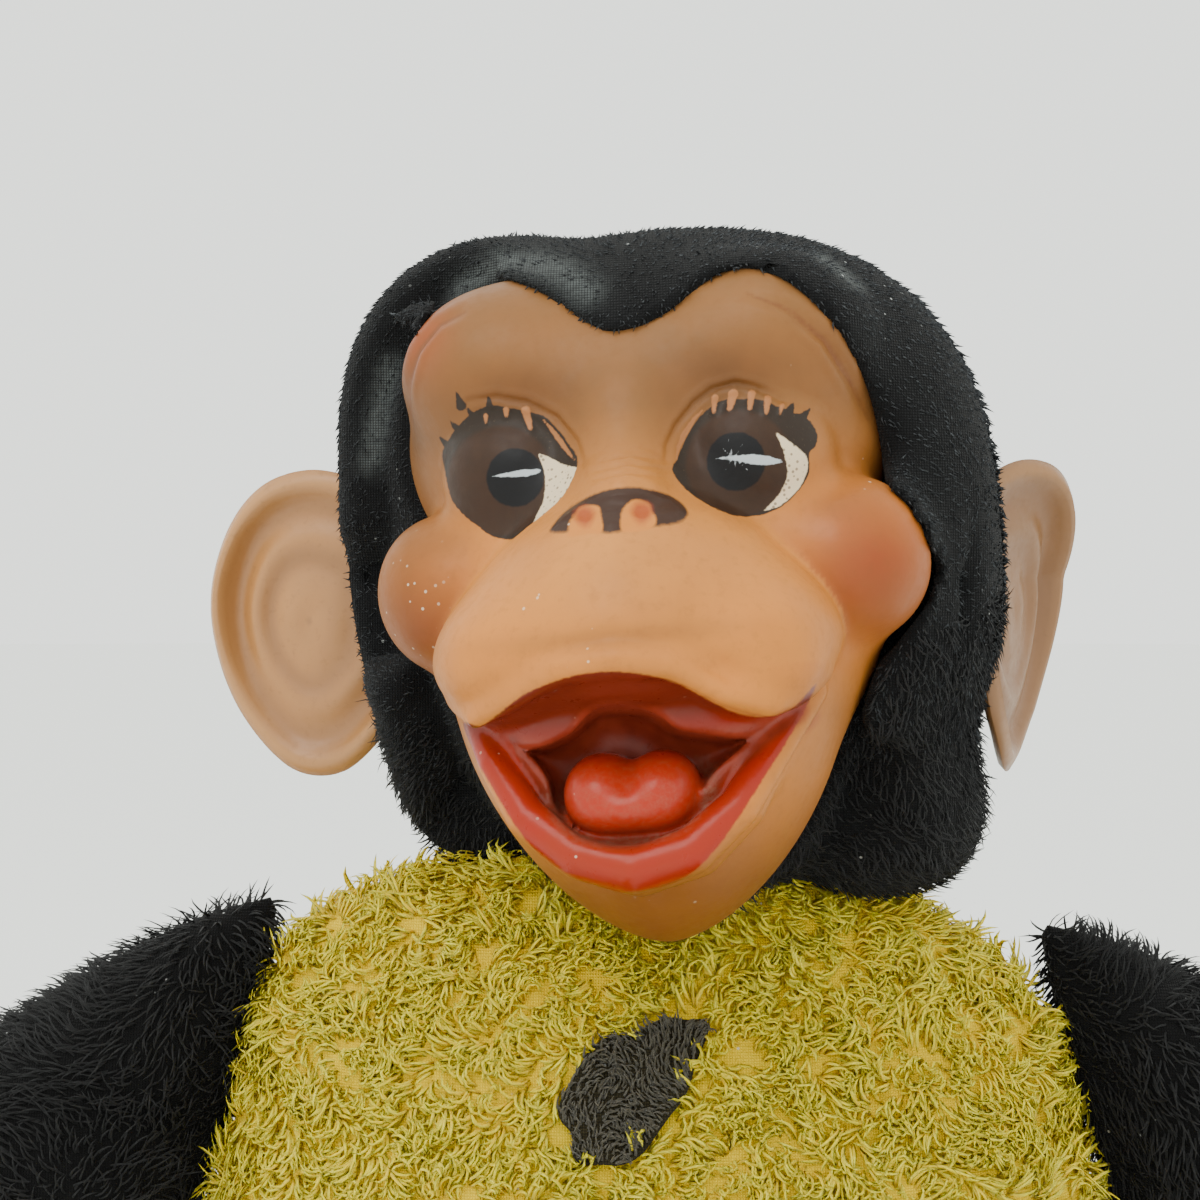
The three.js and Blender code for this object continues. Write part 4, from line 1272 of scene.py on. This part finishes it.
def leg(side):
    name = "left" if side > 0 else "right"
    frame_now = shift(side * LEG["out"], LEG["front"], LEG["seat"]) @ turn("Z", side * LEG["splay"])
    reach = 9

    def place(u, v, w, share):
        at = (w - reach) / LEG["length"]
        return u, reach - w, v + (leg_top(at) - leg_under(at)) / 2

    def deep(t):
        return (leg_top(t) + leg_under(t)) / 2 + 3 * (1 - t) ** 4

    surface = stuffed(LEG["length"] + reach, leg_wide, deep, profile([2.1, 2.1]), place, grow=-0.6)
    trouser = piece(f"{name}_leg_backing", *surface, black_backing, f"{name}_leg", frame_now)
    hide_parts(f"{name}_leg_inner_panel", f"{name}_leg_outer_panel", f"{name}_leg_stuffing")
    pile(f"{name}_leg_pile", f"{name}_leg", surface, 2.1, black_pile, 70 + side, 8, 0.95, 0.85,
         0.7, lambda p: np.array([0, -1.0, -0.2]) + wandering(p, 7, 14) * 0.45, 0.3, rings=4, place=frame_now,
         keep=lambda p: (p[:, 2] > -LEG["seat"] + 7) & (p[:, 1] > -LEG["length"] + 3), curl=1.0, flat=0.5)
    shoe(name, frame_now)


def shoe(name, frame_now):
    end, middle = -LEG["length"], 43.3 - LEG["seat"]
    sole_y = end - 44.5

    def oval(p, x, z):
        return (np.sqrt((p[:, 0] / x) ** 2 + ((p[:, 2] - middle) / z) ** 2) - 1) * x

    def field(p):
        made = ellipsoid(p, (0, end - 24, middle - 3), (25.5, 20, 39))
        made = union(made, ellipsoid(p, (0, end - 30, middle + 16), (27, 19, 25)), 8)
        made = union(made, tube(p, [(0, end + 10, middle - 12), (0, end - 16, middle - 6)], [17, 20]), 8)
        made = cut(made, p[:, 1] - sole_y, 2)
        welt = np.maximum(oval(p, 26.6, 42), np.abs(p[:, 1] - sole_y + 0.5) - 1.2)
        made = union(made, welt, 1.2)
        sole = -union(-oval(p, 27.6, 42.6), -(np.abs(p[:, 1] - sole_y + 0.5) - 2.6), 1.5)
        return union(made, sole, 0.6)

    step = 1.2
    points, faces = contour(field, (-31, end - 50, middle - 47), (31, end + 16, middle + 47), step)
    tone = plain_tone(rgb(214, 204, 184), len(points))
    tone = tinted(tone, rgb(120, 84, 56), (points[:, 1] < sole_y + 0.6) * 0.85)
    tone = tinted(tone, rgb(150, 138, 116), 0.5 * np.clip((sole_y + 6 - points[:, 1]) / 6, 0, 1))
    obj = piece(f"{name}_shoe_vinyl", points, faces, shoe_vinyl, f"{name}_foot", frame_now, tone=tone)
    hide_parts(f"{name}_shoe")


# ---------------------------------------------------------------- putting it together

skin = skin_material()
ear_vinyl = plain_vinyl("ear_vinyl", rgb(140, 98, 58))
hand_vinyl = plain_vinyl("hand_vinyl", rgb(176, 126, 84))
shoe_vinyl = plain_vinyl("shoe_vinyl", rgb(170, 158, 132), 0.36)
black_pile = pile_material("black_pile", rgb(12, 12, 12), rgb(30, 30, 31), rgb(60, 61, 62), 0.5, 0.03,
                           shine=0.3)
nap_pile = pile_material("nap_pile", rgb(24, 25, 27), rgb(50, 52, 55), rgb(98, 102, 105), 0.7, 0.03, shine=0.15)
black_backing = backing_material("black_backing", rgb(14, 14, 15), rgb(6, 6, 6))
hood_backing = backing_material("hood_backing", rgb(20, 21, 22), rgb(8, 8, 9), worn=rgb(84, 89, 88))
yellow_pile = pile_material("yellow_curls", rgb(240, 198, 12), rgb(255, 230, 34), rgb(255, 240, 96), 0.55, 0.03,
                            (1, 0.95, 0.7), 8.0, through=0.6)
yellow_backing = backing_material("yellow_backing", rgb(246, 214, 36), rgb(214, 178, 18))
patch_pile = pile_material("patch_pile", rgb(40, 36, 20), rgb(80, 74, 42), rgb(104, 90, 56), 0.7, 0.3)
patch_backing = backing_material("patch_backing", rgb(60, 54, 34), rgb(26, 23, 14))
twisted = cord_material()

face_mask()
hood()
neck()
ear("right_ear", HEAD @ shift(-75, 12, -2) @ np.diag([-1.0, 1, 1, 1]), 1.0, [(0, 8)], True, 1.0)
ear("left_ear", HEAD @ shift(74, 10, -16), 0.98,
    [(-45, 86), (-30, 80), (-14, 76), (4, 72), (24, 57), (34, 50)], False, 0.5)
torso()
for side in (1, -1):
    arm(side)
    leg(side)
for name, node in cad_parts.items():
    if "cord" in name or "drawstring" in name:
        for place in node.material_slots:
            place.material = twisted


VIEW_SLOPE = 0.27955  # half of the picture's width over the distance
FLOOR_LEVEL = -0.4


def photo_camera():
    data = bpy.data.cameras.new("camera")
    data.sensor_width = 36
    data.lens = data.sensor_width / 2 / VIEW_SLOPE
    data.clip_start, data.clip_end = 0.01, 100
    camera = bpy.data.objects.new("camera", data)
    camera.location = (-0.014, -0.540, 0.248)
    camera.rotation_euler = (math.pi / 2, 0, 0)
    bpy.context.scene.collection.objects.link(camera)
    bpy.context.scene.camera = camera


def lamp(name, place, aim, size, watts, colour=(1, 1, 1)):
    data = bpy.data.lights.new(name, "AREA")
    data.shape, data.size, data.energy, data.color = "DISK", size, watts, colour
    obj = bpy.data.objects.new(name, data)
    obj.location = place
    obj.rotation_euler = (Vector(aim) - Vector(place)).to_track_quat("-Z", "Y").to_euler()
    bpy.context.scene.collection.objects.link(obj)


def floor():
    around = 64
    angle = np.linspace(0, 2 * np.pi, around, endpoint=False)
    rim = np.stack([np.cos(angle), np.sin(angle), np.zeros(around)], -1)
    points = np.vstack([rim * 900, rim * 12000, [0, 0, 0]]) + [0, 0, FLOOR_LEVEL]
    j = np.arange(around)
    k = (j + 1) % around
    faces = [np.stack([j, around + j, around + k, k], -1), np.stack([j, k, np.full(around, 2 * around)], -1)]
    n = Nodes("pale_floor")
    speck = n.fit(n.cells(26), 0.045, 0.03)
    colour = n.mix(n.times(speck, 0.35), rgb(250, 251, 249), rgb(196, 200, 190))
    paper = n.finish(base_color=colour, roughness=0.8, normal=n.bump(n.noise(300, 3), 0.1, 0.0005))
    obj = piece("floor", points, faces, paper, None)


def studio():
    lamp("key", (-0.5, -1.0, 1.3), (0, 0, 0.2), 0.9, 10, (1, 0.985, 0.96))
    world = bpy.data.worlds.new("studio")
    world.use_nodes = True
    background = world.node_tree.nodes["Background"]
    background.inputs[0].default_value = (*rgb(238, 241, 236), 1)
    background.inputs[1].default_value = 2.1
    bpy.context.scene.world = world


photo_camera()
floor()
studio()
